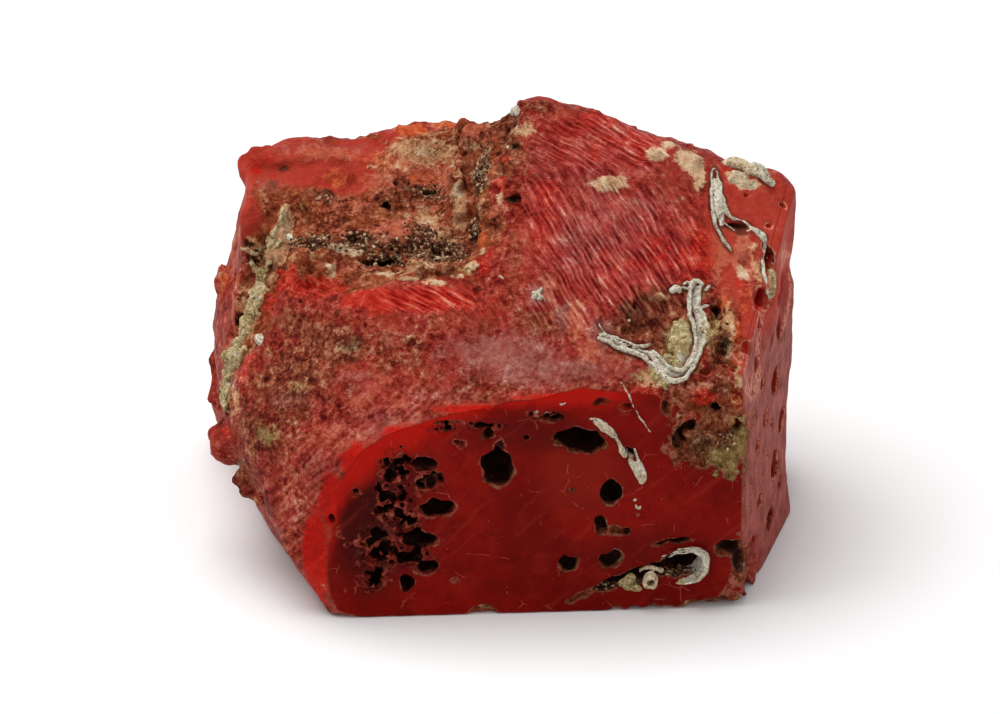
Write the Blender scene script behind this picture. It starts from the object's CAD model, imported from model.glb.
"""A raw block of red coral with worm tubes and lime crust on it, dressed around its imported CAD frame.

The frame is in metres, +Z up, with the sawn front towards -Y. The coral's own form is worked
out in millimetres.
"""

import functools
import math

import bpy
import numpy as np
import openvdb
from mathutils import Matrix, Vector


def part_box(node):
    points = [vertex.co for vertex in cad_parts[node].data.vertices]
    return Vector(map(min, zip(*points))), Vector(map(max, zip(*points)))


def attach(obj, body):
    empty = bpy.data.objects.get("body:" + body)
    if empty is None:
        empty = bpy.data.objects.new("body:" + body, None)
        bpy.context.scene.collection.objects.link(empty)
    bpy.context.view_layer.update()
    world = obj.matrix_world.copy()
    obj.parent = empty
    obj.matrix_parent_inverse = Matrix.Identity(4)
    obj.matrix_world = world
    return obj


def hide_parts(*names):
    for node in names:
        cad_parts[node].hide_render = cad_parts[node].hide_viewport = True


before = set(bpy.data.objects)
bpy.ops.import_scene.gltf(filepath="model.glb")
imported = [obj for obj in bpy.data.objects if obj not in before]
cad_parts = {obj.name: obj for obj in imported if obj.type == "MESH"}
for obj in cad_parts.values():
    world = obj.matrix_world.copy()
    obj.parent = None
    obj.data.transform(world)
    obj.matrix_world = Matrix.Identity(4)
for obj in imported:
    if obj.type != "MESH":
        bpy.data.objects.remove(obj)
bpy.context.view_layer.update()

# The camera
# It looks from straight in front and 30 degrees above, through a very long lens, so that the view has
# almost no perspective. The photograph's frame spans 58 mm at the coral.
VIEW_ELEVATION = math.radians(30)
VIEW_WIDTH = 0.058
VIEW_MIDDLE = (0.0, 0.0, 0.01057)
LENS = 800.0
SENSOR = 36.0
NEAREST = 0.05
FARTHEST = 20.0

camera_distance = VIEW_WIDTH * LENS / SENSOR
camera = bpy.data.objects.new("camera", bpy.data.cameras.new("camera"))
bpy.context.scene.collection.objects.link(camera)
camera.data.lens = LENS
camera.data.sensor_width = SENSOR
camera.data.clip_start = NEAREST
camera.data.clip_end = FARTHEST
camera.location = (
    VIEW_MIDDLE[0],
    VIEW_MIDDLE[1] - camera_distance * math.cos(VIEW_ELEVATION),
    VIEW_MIDDLE[2] + camera_distance * math.sin(VIEW_ELEVATION),
)
camera.rotation_euler = (math.pi / 2 - VIEW_ELEVATION, 0, 0)
bpy.context.scene.camera = camera

# The coral
# The foot of a thick branch of precious coral: one hard lump of red lime that grew in fine ridges and was
# then sawn off flat underneath, in front and on the right. Sponges and worms have bored it, and eaten out
# the terrace behind the crest and the scar down the left side.
MM = 0.001
CORAL_VOXEL = 0.125
CORAL_TRIANGLES = 197000
# How strongly plain and rough parts of the mesh are thinned
THINNING = dict(plain=0.6, rough=0.35)
# Plain parts are far from the camera, on the front cut, low down or far back
PLAIN_BEYOND = -3
FLAT_WITHIN = 0.05
PLAIN_BELOW = 0.3
PLAIN_BEHIND = 3.5

NATURAL_FACES = {
    "slope": ((0.04, -0.643, 0.766), (1.7, -11.2, 14.8)),
    "shoulder": ((0.42, -0.46, 0.785), (13.9, -6.2, 18.7)),
    "front left": ((-0.55, -0.82, 0.12), (-10.9, -12, 3)),
    "left slope": ((-0.41, -0.626, 0.663), (-15.6, -7, 10.7)),
    "left side": ((-0.985, -0.03, 0.13), (-15.25, 0, 15)),
    "left low": ((-0.969, -0.21, -0.164), (-16.1, -4, 9.7)),
    "undercut": ((-0.84, -0.27, -0.47), (-13.1, -6, 2.9)),
    "cap": ((-0.16, 0.47, 0.87), (1.7, 2.5, 25.9)),
    "ridge back": ((0.27, 0.49, 0.83), (1.7, 2.5, 26.4)),
    "right end": ((0.995, 0.1, 0), (17, 0, 15)),
    "back": ((0.1, 0.99, 0.05), (0, 12, 8)),
    "back left": ((-0.5, 0.86, 0.05), (-15.2, 9.6, 8)),
    "back right": ((0.7, 0.7, 0.12), (15.5, 6, 10)),
}
TERRACE = {
    "floor": ((0.03, 0.22, -0.97), (-8, 2, 18)),
    "wall under the summit": ((0.872, 0.14, -0.467), (-0.9, -5.6, 19.3)),
    "crest": ((-0.137, -0.8, -0.6), (-6, -4.6, 17.6)),
}
SCAR = {
    "floor": ((0.878, -0.023, -0.478), (-13.6, -4, 14.7)),
    "back": ((0.2, 0.95, -0.2), (-15, 2.5, 14)),
    "foot": ((0, 0.3, -0.95), (-15, 0, 7)),
}
BASE_CUT = ((0, 0, -1), (0, 0, 0))
FRONT_CUT = ((0.055, -0.9985, 0), (0, -11.41, 0))
RIGHT_CUT = ((0.966, -0.259, 0), (14, -10.7, 5))
DENTS = [
    ((12.6, -11.7, 11.5), (3.7, 1.5, 3.4)), ((11.6, -11.6, 14.4), (2.6, 1.5, 1.7)),
    ((13.0, -9.4, 17.2), (1.7, 1.5, 2.2)), ((9.9, -8.6, 17.6), (2.3, 1.0, 1.5)),
]
SUMMIT_KNOB = ((2.3, 2.6, 24.1), (1.7, 1.6, 2.1))
BROAD_SWELLS = dict(height=0.28, length=9, pattern=1)
FINE_SWELLS = dict(height=0.1, length=3.5, pattern=2)
TERRACE_SWELLS = dict(height=0.45, length=4.5, pattern=3)
SCAR_SWELLS = dict(height=0.25, length=3.5, pattern=4)
WAVES = 9
GOLDEN_ANGLE = 2.399963

# Lumps and hollows of the broken parts, by where the photograph shows them: pixel across, pixel down, width
# and height in pixels, and how far it stands out or sinks in, in millimetres
PHOTOGRAPH_SIZE = (1000, 714)
PIXEL = VIEW_WIDTH / MM / PHOTOGRAPH_SIZE[0]
LUMPS = [
    (460, 205, 15, 66, 0.8), (470, 134, 16, 12, 0.5), (402, 236, 44, 26, 0.6), (252, 216, 24, 26, 0.3),
    (264, 168, 52, 46, 0.5), (402, 130, 20, 12, 0.5), (447, 121, 24, 12, 0.5), (285, 230, 11, 42, 0.4),
    (335, 222, 34, 22, 0.4), (334, 178, 44, 22, 0.35), (425, 208, 40, 16, 0.5), (430, 268, 50, 16, 0.5),
    (440, 243, 28, 16, 0.5), (278, 256, 26, 18, 0.5), (375, 215, 30, 20, 0.4), (315, 160, 60, 20, 0.3),
    (320, 268, 40, 14, 0.4), (515, 165, 30, 20, 0.3), (500, 215, 22, 30, 0.3), (610, 186, 34, 13, 0.25),
    (655, 156, 14, 12, 0.25), (690, 168, 22, 26, 0.2), (222, 285, 18, 44, 0.2), (214, 380, 14, 60, 0.2),
    (232, 340, 14, 36, 0.3), (300, 272, 26, 30, 0.2), (246, 300, 16, 20, 0.3), (300, 545, 26, 40, 0.4),
    (250, 480, 30, 40, 0.35), (230, 441, 42, 46, 1.2), (672, 412, 20, 16, 0.4), (700, 392, 26, 18, 0.4),
    (722, 462, 28, 40, 0.4), (690, 470, 30, 20, 0.3), (722, 375, 22, 20, 0.4), (762, 548, 24, 22, 0.5),
    (725, 578, 24, 20, 0.3), (306, 596, 16, 22, 0.3), (578, 109, 10, 6, 0.18), (596, 114, 8, 6, 0.16),
    (612, 122, 9, 6, 0.16), (633, 130, 8, 6, 0.16), (652, 134, 10, 6, 0.2), (671, 139, 9, 6, 0.16),
    (688, 147, 10, 6, 0.18), (447, 124, 12, 8, 0.4), (420, 124, 14, 8, 0.3), (532, 104, 16, 8, 0.3),
    (522, 106, 8, 6, 0.25), (756, 575, 10, 24, 0.5), (772, 552, 14, 18, 0.5), (640, 606, 30, 6, 0.3),
    (700, 604, 36, 6, 0.3),
]
HOLLOWS = [
    (312, 192, 26, 8, 0.6), (310, 243, 38, 14, 0.8), (357, 240, 30, 16, 1.2), (386, 264, 46, 10, 0.8),
    (386, 205, 10, 10, 1.0), (395, 246, 8, 8, 0.8), (480, 176, 22, 46, 1.2), (474, 236, 20, 24, 1.1),
    (446, 256, 32, 7, 0.8), (428, 194, 22, 10, 0.8), (517, 147, 16, 11, 0.8), (513, 200, 18, 9, 0.9),
    (255, 262, 10, 9, 1.1), (267, 276, 8, 8, 1.1), (235, 281, 17, 17, 0.9), (240, 319, 10, 20, 0.8),
    (250, 245, 12, 10, 0.7), (405, 185, 20, 8, 0.6), (350, 200, 14, 10, 0.6), (660, 392, 12, 8, 0.5),
    (690, 425, 22, 14, 0.7), (672, 438, 12, 14, 0.8), (705, 372, 16, 10, 0.6), (733, 480, 16, 22, 0.6),
    (715, 310, 16, 26, 0.8), (722, 345, 14, 22, 0.8), (285, 560, 12, 16, 0.6), (262, 500, 12, 18, 0.5),
    (228, 412, 9, 14, 0.6), (300, 300, 8, 6, 0.4), (412, 343, 10, 5, 0.3), (764, 256, 9, 34, 0.8),
    (757, 299, 13, 24, 0.9), (745, 260, 14, 30, 0.25), (736, 227, 26, 7, 0.5), (769, 260, 11, 26, 0.5),
    (677, 434, 9, 18, 0.7), (664, 404, 9, 22, 0.5), (688, 396, 22, 7, 0.5), (712, 404, 14, 10, 0.6),
    (735, 425, 8, 16, 0.5), (262, 500, 14, 20, 0.7), (250, 522, 8, 12, 0.4), (746, 556, 10, 30, 0.7),
    (782, 207, 9, 10, 0.4), (768, 226, 9, 8, 0.35), (745, 196, 6, 5, 0.2), (650, 305, 40, 22, 0.35),
    (640, 330, 36, 14, 0.3), (352, 362, 12, 6, 0.25), (375, 372, 10, 5, 0.2),
]
# Where the top outline dips: pixel across, pixel down, width and height in pixels. Each dip runs right back
DIPS = [(486, 100, 64, 52), (338, 118, 116, 40), (754, 151, 76, 40)]

# Pits in the sawn front: middle across and above the base, width, height, depth, turn in degrees
FRONT_PITS = [
    (-0.2, 9.7, 1.9, 2.5, 2.6, 15), (4.6, 11.4, 3.0, 1.6, 2.2, -10), (6.4, 7.85, 1.35, 1.8, 1.9, 0),
    (-3.6, 7.15, 2.2, 1.25, 1.9, 6), (-4.6, 5.1, 2.1, 1.1, 1.9, -6), (-4.2, 3.2, 1.4, 0.95, 1.6, 12),
    (-5.4, 2.2, 0.9, 1.2, 1.5, -15), (-4.4, 10.1, 1.6, 0.9, 1.4, -6), (3.9, 3.2, 1.1, 1.1, 1.2, 0),
    (5.8, 5.7, 0.9, 1.2, 0.9, 0), (7.3, 5.3, 0.6, 0.6, 0.7, 20), (6.5, 5.4, 1.4, 0.6, 0.35, 0),
    (6.4, 3.4, 1.6, 1.1, 0.9, 15), (-0.9, -0.1, 1.7, 1.5, 0.35, 0), (-0.7, 12.0, 0.5, 0.55, 1.2, 0),
    (1.5, 11.7, 0.5, 0.4, 1.2, 0), (-8.3, 8.4, 0.5, 0.6, 0.7, 0), (-9.7, 6.6, 0.4, 0.7, 0.6, 0),
    (-2.4, 11.5, 0.8, 0.5, 0.4, 0), (-0.6, 13.9, 0.6, 0.5, 0.35, 0), (5.8, 14.0, 1.0, 0.5, 0.4, 5),
    (3.3, 12.9, 1.1, 0.35, 0.9, 8), (4.1, 8.2, 0.25, 0.25, 0.4, 0), (0.0, 11.2, 0.7, 1.0, 0.5, 0),
    (10.0, 4.5, 2.4, 0.3, 0.9, 8), (-9.3, 5.6, 0.3, 0.5, 0.4, 0), (-2.6, 2.3, 0.9, 0.35, 0.25, 0),
    (7.5, 10.6, 0.5, 1.1, 0.6, 25), (-3.0, 12.9, 1.7, 0.35, 0.4, -5), (7.2, 13.6, 0.8, 0.6, 0.3, 0),
    (8.0, 6.3, 0.3, 0.3, 0.25, 0),
]
# Patches of fine sponge holes in the sawn front: middle, half width, half height, turn in degrees
SPONGES = [
    (-6.3, 7.6, 1.5, 1.9, 20), (-6.9, 4.6, 1.9, 2.0, -20), (-6.0, 9.9, 1.1, 1.6, -25),
    (-7.3, 2.6, 0.9, 1.1, 0), (-3.2, 12.5, 1.2, 0.3, 14), (-0.9, 12.6, 1.6, 0.3, -6),
    (-4.3, 8.9, 1.3, 0.8, 10), (2.7, 13.1, 1.3, 0.4, -6), (-5.2, 3.9, 1.6, 0.8, 0),
    (-5.4, 6.3, 1.0, 0.7, 0),
]
SPONGE_CELLS = (0.34, 0.56, 0.85)
# Pits in the sawn right side: how far back and above the base the middle is, width, height, depth
RIGHT_PITS = [
    (-8.6, 16.2, 1.0, 1.3, 0.8), (-7.3, 14.4, 0.8, 1.0, 0.7), (-3.4, 11.0, 1.8, 1.9, 1.2),
    (-2.3, 13.9, 1.5, 1.8, 1.1), (-5.6, 9.6, 1.1, 1.3, 0.9), (-3.4, 5.3, 1.7, 1.9, 1.2),
    (-7.3, 9.0, 0.9, 1.1, 0.8), (-6.7, 4.8, 1.0, 1.2, 0.8), (-1.9, 7.4, 1.5, 1.7, 1.0),
    (-8.6, 7.4, 0.8, 1.0, 0.7), (-4.5, 2.3, 1.4, 1.4, 1.0), (-5.2, 17.4, 1.2, 1.4, 0.9),
    (-9.2, 12.0, 0.5, 0.8, 0.5), (-8.2, 11.2, 0.5, 0.9, 0.5), (-9.4, 9.3, 0.4, 0.6, 0.4),
    (-6.2, 12.4, 0.7, 0.9, 0.6), (-5.0, 14.6, 0.8, 1.2, 0.7), (-9.0, 5.6, 0.5, 0.7, 0.5),
    (-7.9, 3.0, 0.6, 0.7, 0.5), (-5.3, 7.0, 0.6, 0.8, 0.6), (-8.8, 14.0, 0.4, 0.6, 0.4),
    (-6.6, 16.6, 0.5, 0.8, 0.5), (-4.2, 8.6, 0.5, 0.6, 0.5), (-9.5, 3.6, 0.4, 0.5, 0.4),
    (-6.1, 6.2, 0.4, 0.5, 0.4), (-2.2, 3.4, 0.8, 0.9, 0.7), (-8.0, 12.9, 0.3, 0.6, 0.4),
    (-3.6, 16.4, 0.9, 1.2, 0.7),
]
# Where the corner under the right side has crumbled away, and how far round it
RAGGED_CORNER = (15.3, -9.2, 0.8)
RAGGED_REACH = 3.2
# The broken hollow at the front right corner of the base: middle, radii, turn in degrees
CORNER_HOLLOW = [
    ((10.6, -11.3, 2.95), (1.5, 2.2, 0.9), 6), ((8.2, -11.6, 2.35), (2.2, 1.6, 0.62), 17),
    ((6.3, -11.6, 1.8), (1.3, 1.4, 0.42), 22), ((4.7, -11.7, 1.1), (1.2, 0.9, 0.28), 28),
    ((13.4, -11.4, 2.9), (1.0, 0.6, 0.5), 0), ((12.9, -11.5, 1.5), (1.0, 0.6, 0.3), 12),
    ((9.6, -11.6, 0.75), (1.9, 0.7, 0.17), 4), ((14.9, -9.6, 0.9), (0.9, 1.8, 0.9), 0),
    ((8.4, -11.6, -0.1), (2.6, 1.2, 0.42), 0), ((12.2, -11.4, -0.1), (2.2, 1.4, 0.75), 0),
    ((13.3, -11.3, 3.95), (1.1, 1.6, 0.62), 6), ((14.2, -10.6, 3.0), (0.8, 1.2, 0.9), 0),
    ((13.0, -11.5, 0.2), (2.0, 1.2, 0.6), 0), ((10.0, -11.6, -0.15), (1.6, 0.9, 0.45), 0),
    ((13.9, -11.3, 4.9), (0.8, 0.7, 0.2), 10), ((14.1, -10.9, 1.6), (0.5, 0.9, 0.4), 0),
]

# How far the edges of each form are rounded off, in millimetres
ROUNDING = dict(
    hull=1.2, terrace=1.0, terrace_edge=0.5, scar=0.8, scar_edge=0.4, dent=0.4, knob=0.9, saw=0.12, dip=0.4,
    lump=0.25, hollow=0.12, pit=0.06,
)
# Small waves that make the edges of lumps, pits and dips ragged, one pattern for each way
RAGGED = [dict(height=0.09, length=0.9, pattern=pattern) for pattern in (11, 12, 13)]
# Grains that stand out of the broken parts and, faintly, of the skin, and the level between them
GRAIN_LEVEL = 0.55
RUBBLE_GRAINS = [dict(height=0.5, size=1.2, seed=3), dict(height=0.26, size=0.5, seed=7)]
SKIN_GRAINS = dict(height=0.12, size=0.8, seed=13)
# Bites out of the ragged corner, the level between them, and how far they all go in
BITES = [dict(height=1.3, size=1.7, seed=5), dict(height=0.5, size=0.6, seed=9)]
BITE_LEVEL = 0.5
BITE_DEPTH = 0.25
# The right cut isn't quite flat above this height, in millimetres
WAVY_CUT = dict(height=0.28, length=5, pattern=19)
WAVY_FROM = (11, 16)
# Left of here the front's edge is rounded further
SOFT_LEFT = (7.5, 10)
SOFT_LEFT_ROUNDING = 0.8
# Sponge holes reach in as far as this, and are this deep at most in the field
SPONGE_BACK = -10.2
SPONGE_DEPTH = 0.12
SPONGE_SEED = 21
# How full of holes a sponge patch is in its middle, and how much less at its edge
SPONGE_HOLES = (0.55, 0.34)
PIT_MARGIN = 0.3
# How far from the picture plane a surface is looked for, and in what steps, in millimetres
SIGHT_REACH = 26
SIGHT_STEP = 0.1
# How deep a spot is for its half width, and how far out it fades to nothing
SPOT_DEPTH = 1.3
SPOT_FADE = 1.5
# How quickly the coral turns to rubble under the hull, and how near the surface grains are worked out
RUBBLE_FROM = 0.3
RUBBLE_FULL = 0.5
RUBBLE_REACH = 0.9
SKIN_REACH = 0.5

view_right = np.array([1.0, 0.0, 0.0])
view_up = np.array([0.0, math.sin(VIEW_ELEVATION), math.cos(VIEW_ELEVATION)])
view_near = np.array([0.0, -math.cos(VIEW_ELEVATION), math.sin(VIEW_ELEVATION)])
photograph_middle = np.array(VIEW_MIDDLE) / MM


def unit(vector):
    vector = np.array(vector, float)
    return vector / np.linalg.norm(vector)


def lengths(vectors):
    return np.sqrt((vectors * vectors).sum(1))


def beyond(points, face):
    """How far points are in front of a flat face."""
    faces, through = face
    away = unit(faces)
    return points @ away.astype(np.float32) - np.float32(away @ np.array(through, float))


def smooth_max(a, b, softness):
    share = np.clip(0.5 + 0.5 * (a - b) / softness, 0, 1)
    return b + (a - b) * share + softness * share * (1 - share)


def behind_all(points, faces, softness):
    """The convex space behind several faces, with rounded edges between them."""
    depths = (beyond(points, face) for face in faces.values())
    return functools.reduce(lambda a, b: smooth_max(a, b, softness), depths)


def ellipsoid(points, middle, radii):
    away = (points - np.array(middle, np.float32)) / np.array(radii, np.float32)
    return (lengths(away) - 1) * min(radii)


def swell(points, height, length, pattern):
    """Irregular swells and dips: waves that run in directions spread evenly over a sphere."""
    total = np.zeros(len(points), np.float32)
    for i in range(WAVES):
        rise = 1 - 2 * (i + 0.5) / WAVES
        around = GOLDEN_ANGLE * (i + pattern)
        across = math.sqrt(1 - rise * rise)
        stretch = 0.7 + 0.6 * ((i * 0.618 + pattern * 0.37) % 1)
        way = np.array([across * math.cos(around), across * math.sin(around), rise])
        way = (way * stretch * 2 * math.pi / length).astype(np.float32)
        total += np.sin(points @ way + np.float32(GOLDEN_ANGLE * i * i + 1.7 * pattern))
    return height * total / math.sqrt(WAVES)


def swerved(points, swells):
    """Points shifted by a different swell in each of the three ways."""
    return points + np.stack([swell(points, **each) for each in swells], 1).astype(np.float32)


def scattered(cells, seed):
    """A number from 0 to 1 for each whole-numbered cell, the same every time."""
    x, y, z = (cells[:, axis].astype(np.uint32) for axis in range(3))
    mixed = x * np.uint32(73856093) ^ y * np.uint32(19349663) ^ z * np.uint32(83492791)
    mixed = mixed ^ np.uint32(seed * 2654435 + 97)
    mixed = (mixed ^ (mixed >> np.uint32(13))) * np.uint32(1274126177)
    mixed = mixed ^ (mixed >> np.uint32(16))
    return (mixed & np.uint32(0xFFFFFF)).astype(np.float32) / np.float32(0xFFFFFF)


def grains(points, size, seed):
    """Distance to the nearest of grains packed at random, in grain sizes: 0 in one, about 1 between them."""
    scaled = points / np.float32(size)
    home = np.floor(scaled).astype(np.int32)
    nearest = np.full(len(points), 9.0, np.float32)
    for step in np.ndindex(3, 3, 3):
        cell = home + (np.array(step, np.int32) - 1)
        middle = np.stack([cell[:, axis] + scattered(cell, seed + axis) for axis in range(3)], 1)
        away = scaled - middle.astype(np.float32)
        nearest = np.minimum(nearest, (away * away).sum(1))
    return np.sqrt(nearest)


def grained(points, layers, level):
    """Grains that stand out where this is below nothing, as the sum of several sizes."""
    return sum(layer["height"] * (grains(points, layer["size"], layer["seed"]) - level) for layer in layers)


def eased(values, start, end):
    share = np.clip((values - start) / (end - start), 0, 1)
    return share * share * (3 - 2 * share)


def natural_hull(points):
    """The branch before it was bored and broken: negative inside."""
    hull = behind_all(points, NATURAL_FACES, ROUNDING["hull"])
    return hull + swell(points, **BROAD_SWELLS) + swell(points, **FINE_SWELLS)


def grown(points):
    """The branch before it was sawn, with its terrace, scar, dents and summit."""
    depth = natural_hull(points)
    terrace = -behind_all(points, TERRACE, ROUNDING["terrace"]) - swell(points, **TERRACE_SWELLS)
    depth = smooth_max(depth, terrace, ROUNDING["terrace_edge"])
    scar = -behind_all(points, SCAR, ROUNDING["scar"]) - swell(points, **SCAR_SWELLS)
    depth = smooth_max(depth, scar, ROUNDING["scar_edge"])
    for middle, radii in DENTS:
        depth = smooth_max(depth, -ellipsoid(points, middle, radii), ROUNDING["dent"])
    return -smooth_max(-depth, -ellipsoid(points, *SUMMIT_KNOB), ROUNDING["knob"])


def in_photograph(pixels):
    """The points of the picture plane that the photograph's pixels show, in millimetres."""
    pixels = np.array(pixels, float)
    across = (pixels[:, 0] - PHOTOGRAPH_SIZE[0] / 2) * PIXEL
    up = (PHOTOGRAPH_SIZE[1] / 2 - pixels[:, 1]) * PIXEL
    return photograph_middle + across[:, None] * view_right + up[:, None] * view_up


def on_surface(pixels, surface):
    """The points of a surface that the photograph's pixels show."""
    start = in_photograph(pixels)
    reach = np.arange(SIGHT_REACH, -SIGHT_REACH, -SIGHT_STEP)
    along = (start[:, None] + reach[:, None] * view_near).reshape(-1, 3).astype(np.float32)
    inside = surface(along).reshape(len(start), -1) < 0
    return start + reach[inside.argmax(1)][:, None] * view_near


def as_seen(points, middle):
    """Points around a middle as the photograph shows them: rightwards, upwards and nearer."""
    away = points - np.array(middle, np.float32)
    return np.stack([away @ view_right, away @ view_up, away @ view_near], 1)


def turned(points, middle, degrees):
    """Points around a middle, turned as seen from the front: across, back and up."""
    away = points - np.array(middle, np.float32)
    cosine, sine = math.cos(math.radians(degrees)), math.sin(math.radians(degrees))
    across, back, up = away.T
    return np.stack([across * cosine + up * sine, back, up * cosine - across * sine], 1)


def sawn_block(points):
    """The lump once sawn, before its pits."""
    depth = grown(points)
    for cut in (BASE_CUT, FRONT_CUT, RIGHT_CUT):
        depth = smooth_max(depth, beyond(points, cut), ROUNDING["saw"])
    return depth


def front_pit(points, x, z, width, height, depth, turn):
    y = FRONT_CUT[1][1] + FRONT_CUT[0][0] / -FRONT_CUT[0][1] * x
    away = turned(points, (x, y, z), turn) / np.array([width / 2, depth, height / 2], np.float32)
    return (lengths(away) - 1) * min(width, height) / 2


def on_right_cut(y):
    faces, through = RIGHT_CUT
    return through[0] - faces[1] / faces[0] * (y - through[1])


def right_pit(points, y, z, width, height, depth):
    away = points - np.array([on_right_cut(y), y, z], np.float32)
    inwards, along = unit(RIGHT_CUT[0]), unit((-RIGHT_CUT[0][1], RIGHT_CUT[0][0], 0))
    away = np.stack([away @ along / (width / 2), away @ inwards / depth, away[:, 2] / (height / 2)], 1)
    return (lengths(away) - 1) * min(width, height) / 2


def within(points, middle, reach):
    """Which points are in the cube around a middle."""
    inside = np.abs(points[:, 0] - np.float32(middle[0])) < reach
    for axis in (1, 2):
        inside &= np.abs(points[:, axis] - np.float32(middle[axis])) < reach
    return np.flatnonzero(inside)


# Smooth waxy skin on the broken parts: pixel across, pixel down, half width, half height
WAXY = [
    (300, 162, 66, 27), (250, 170, 24, 34), (345, 178, 34, 20), (245, 215, 17, 24), (750, 200, 40, 46),
    (716, 210, 12, 30), (722, 250, 15, 28), (730, 288, 13, 28), (746, 322, 7, 34), (775, 250, 20, 60),
    (743, 385, 5, 40), (262, 165, 30, 24), (395, 133, 18, 8), (358, 150, 36, 14), (316, 560, 12, 50),
    (336, 500, 14, 26), (362, 458, 20, 16), (410, 430, 26, 8), (480, 408, 50, 5), (560, 397, 40, 4),
]


def spread_over(points, spots, middles):
    """How strongly each point is in a spot: 1 in the middle, a half at its edge, then down to nothing."""
    here = np.zeros(len(points), np.float32)
    for spot, middle in zip(spots, middles):
        half_width, half_height = spot[2:4]
        strength = spot[4] if len(spot) > 4 else 1
        radii = np.array([half_width, half_height, SPOT_DEPTH * max(half_width, half_height)]) * PIXEL
        near = within(points, middle, SPOT_FADE * radii.max())
        away = as_seen(points[near], middle) / radii.astype(np.float32)
        here[near] = np.maximum(here[near], strength * np.clip(SPOT_FADE - lengths(away), 0, 1))
    return here


lump_middles = on_surface([lump[:2] for lump in LUMPS], grown)
waxy_middles = on_surface([spot[:2] for spot in WAXY], grown)
hollow_middles = on_surface([hollow[:2] for hollow in HOLLOWS], grown)
dip_middles = in_photograph([dip[:2] for dip in DIPS])


def with_lumps_and_hollows(points, ragged, depth):
    for (_, _, width, height, out), middle in zip(LUMPS, lump_middles):
        near = within(points, middle, max(width, height) * PIXEL)
        radii = (width * PIXEL / 2, height * PIXEL / 2, out)
        bump = ellipsoid(as_seen(ragged[near], middle), (0, 0, 0), radii)
        depth[near] = -smooth_max(-depth[near], -bump, ROUNDING["lump"])
    for (_, _, width, height, sunk), middle in zip(HOLLOWS, hollow_middles):
        near = within(points, middle, max(width, height) * PIXEL + sunk)
        radii = (width * PIXEL / 2, height * PIXEL / 2, sunk)
        hole = ellipsoid(as_seen(ragged[near], middle), (0, 0, 0), radii)
        depth[near] = smooth_max(depth[near], -hole, ROUNDING["hollow"])
    for (_, _, width, height), middle in zip(DIPS, dip_middles):
        radii = np.array([width * PIXEL / 2, height * PIXEL / 2], np.float32)
        dip = (lengths(as_seen(ragged, middle)[:, :2] / radii) - 1) * min(width, height) * PIXEL / 2
        depth = smooth_max(depth, -dip, ROUNDING["dip"])
    return depth


def with_grains(points, hull, depth):
    """Rubble where the branch is broken, and a slightly lumpy skin elsewhere."""
    crumbled = np.clip((depth - hull) / RUBBLE_FULL - RUBBLE_FROM, 0, 1)
    rough = np.flatnonzero((crumbled > 0) & (np.abs(depth) < RUBBLE_REACH))
    crumbled = crumbled[rough] * (1 - spread_over(points[rough], WAXY, waxy_middles))
    depth[rough] += crumbled * grained(points[rough], RUBBLE_GRAINS, GRAIN_LEVEL)
    skin = np.flatnonzero(np.abs(depth) < SKIN_REACH)
    smooth = np.clip(spread_over(points[skin], WAXY, waxy_middles), 0, 1)
    depth[skin] += (1 - smooth) * grained(points[skin], [SKIN_GRAINS], GRAIN_LEVEL)
    return depth


def with_cuts(points, depth):
    """Sawn underneath, in front and on the right, with the lower right corner crumbled."""
    right_cut = beyond(points, RIGHT_CUT) + eased(points[:, 2], *WAVY_FROM) * swell(points, **WAVY_CUT)
    soft = ROUNDING["saw"] + SOFT_LEFT_ROUNDING * eased(-points[:, 0], *SOFT_LEFT)
    depth = smooth_max(depth, beyond(points, BASE_CUT), ROUNDING["saw"])
    depth = smooth_max(depth, beyond(points, FRONT_CUT), soft)
    depth = smooth_max(depth, right_cut, ROUNDING["saw"])
    near = within(points, RAGGED_CORNER, RAGGED_REACH)
    away = (points[near] - np.array(RAGGED_CORNER, np.float32)) / RAGGED_REACH
    torn = np.clip(1.4 - 1.4 * lengths(away), 0, 1)
    bites = grained(points[near], BITES, BITE_LEVEL) + BITE_DEPTH
    depth[near] = np.maximum(depth[near], depth[near] + torn * bites)
    return depth


def with_pits(points, ragged, depth):
    """Bored by sponges and worms: single pits, the corner's hollow, and patches of fine holes."""
    front = FRONT_CUT[1][1]
    for pit in FRONT_PITS:
        near = within(points, (pit[0], front, pit[1]), max(pit[2:5]) + PIT_MARGIN)
        depth[near] = smooth_max(depth[near], -front_pit(ragged[near], *pit), ROUNDING["pit"])
    for pit in RIGHT_PITS:
        near = within(points, (on_right_cut(pit[0]), *pit[:2]), max(pit[2:]) + PIT_MARGIN)
        depth[near] = smooth_max(depth[near], -right_pit(ragged[near], *pit), ROUNDING["pit"])
    for middle, radii, turn in CORNER_HOLLOW:
        near = within(points, middle, max(radii) + PIT_MARGIN)
        hole = ellipsoid(turned(ragged[near], middle, turn), (0, 0, 0), radii)
        depth[near] = smooth_max(depth[near], -hole, ROUNDING["pit"])
    for x, z, half_width, half_height, turn in SPONGES:
        near = within(points, (x, front, z), max(half_width, half_height) * 1.1)
        near = near[points[near, 1] < SPONGE_BACK]
        away = turned(points[near], (x, front, z), turn)[:, ::2]
        thick = lengths(away / np.array([half_width, half_height], np.float32))
        for size in SPONGE_CELLS:
            full, less = SPONGE_HOLES
            hole = (full - less * thick**2 - grains(points[near], size, SPONGE_SEED)) * size
            depth[near] = np.maximum(depth[near], np.minimum(hole, SPONGE_DEPTH))
    return depth


def coral_field(points):
    """The whole coral: negative inside, positive outside, in millimetres."""
    ragged = swerved(points, RAGGED)
    depth = with_lumps_and_hollows(points, ragged, grown(points))
    depth = with_grains(points, natural_hull(points), depth)
    return with_pits(points, ragged, with_cuts(points, depth))


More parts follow.
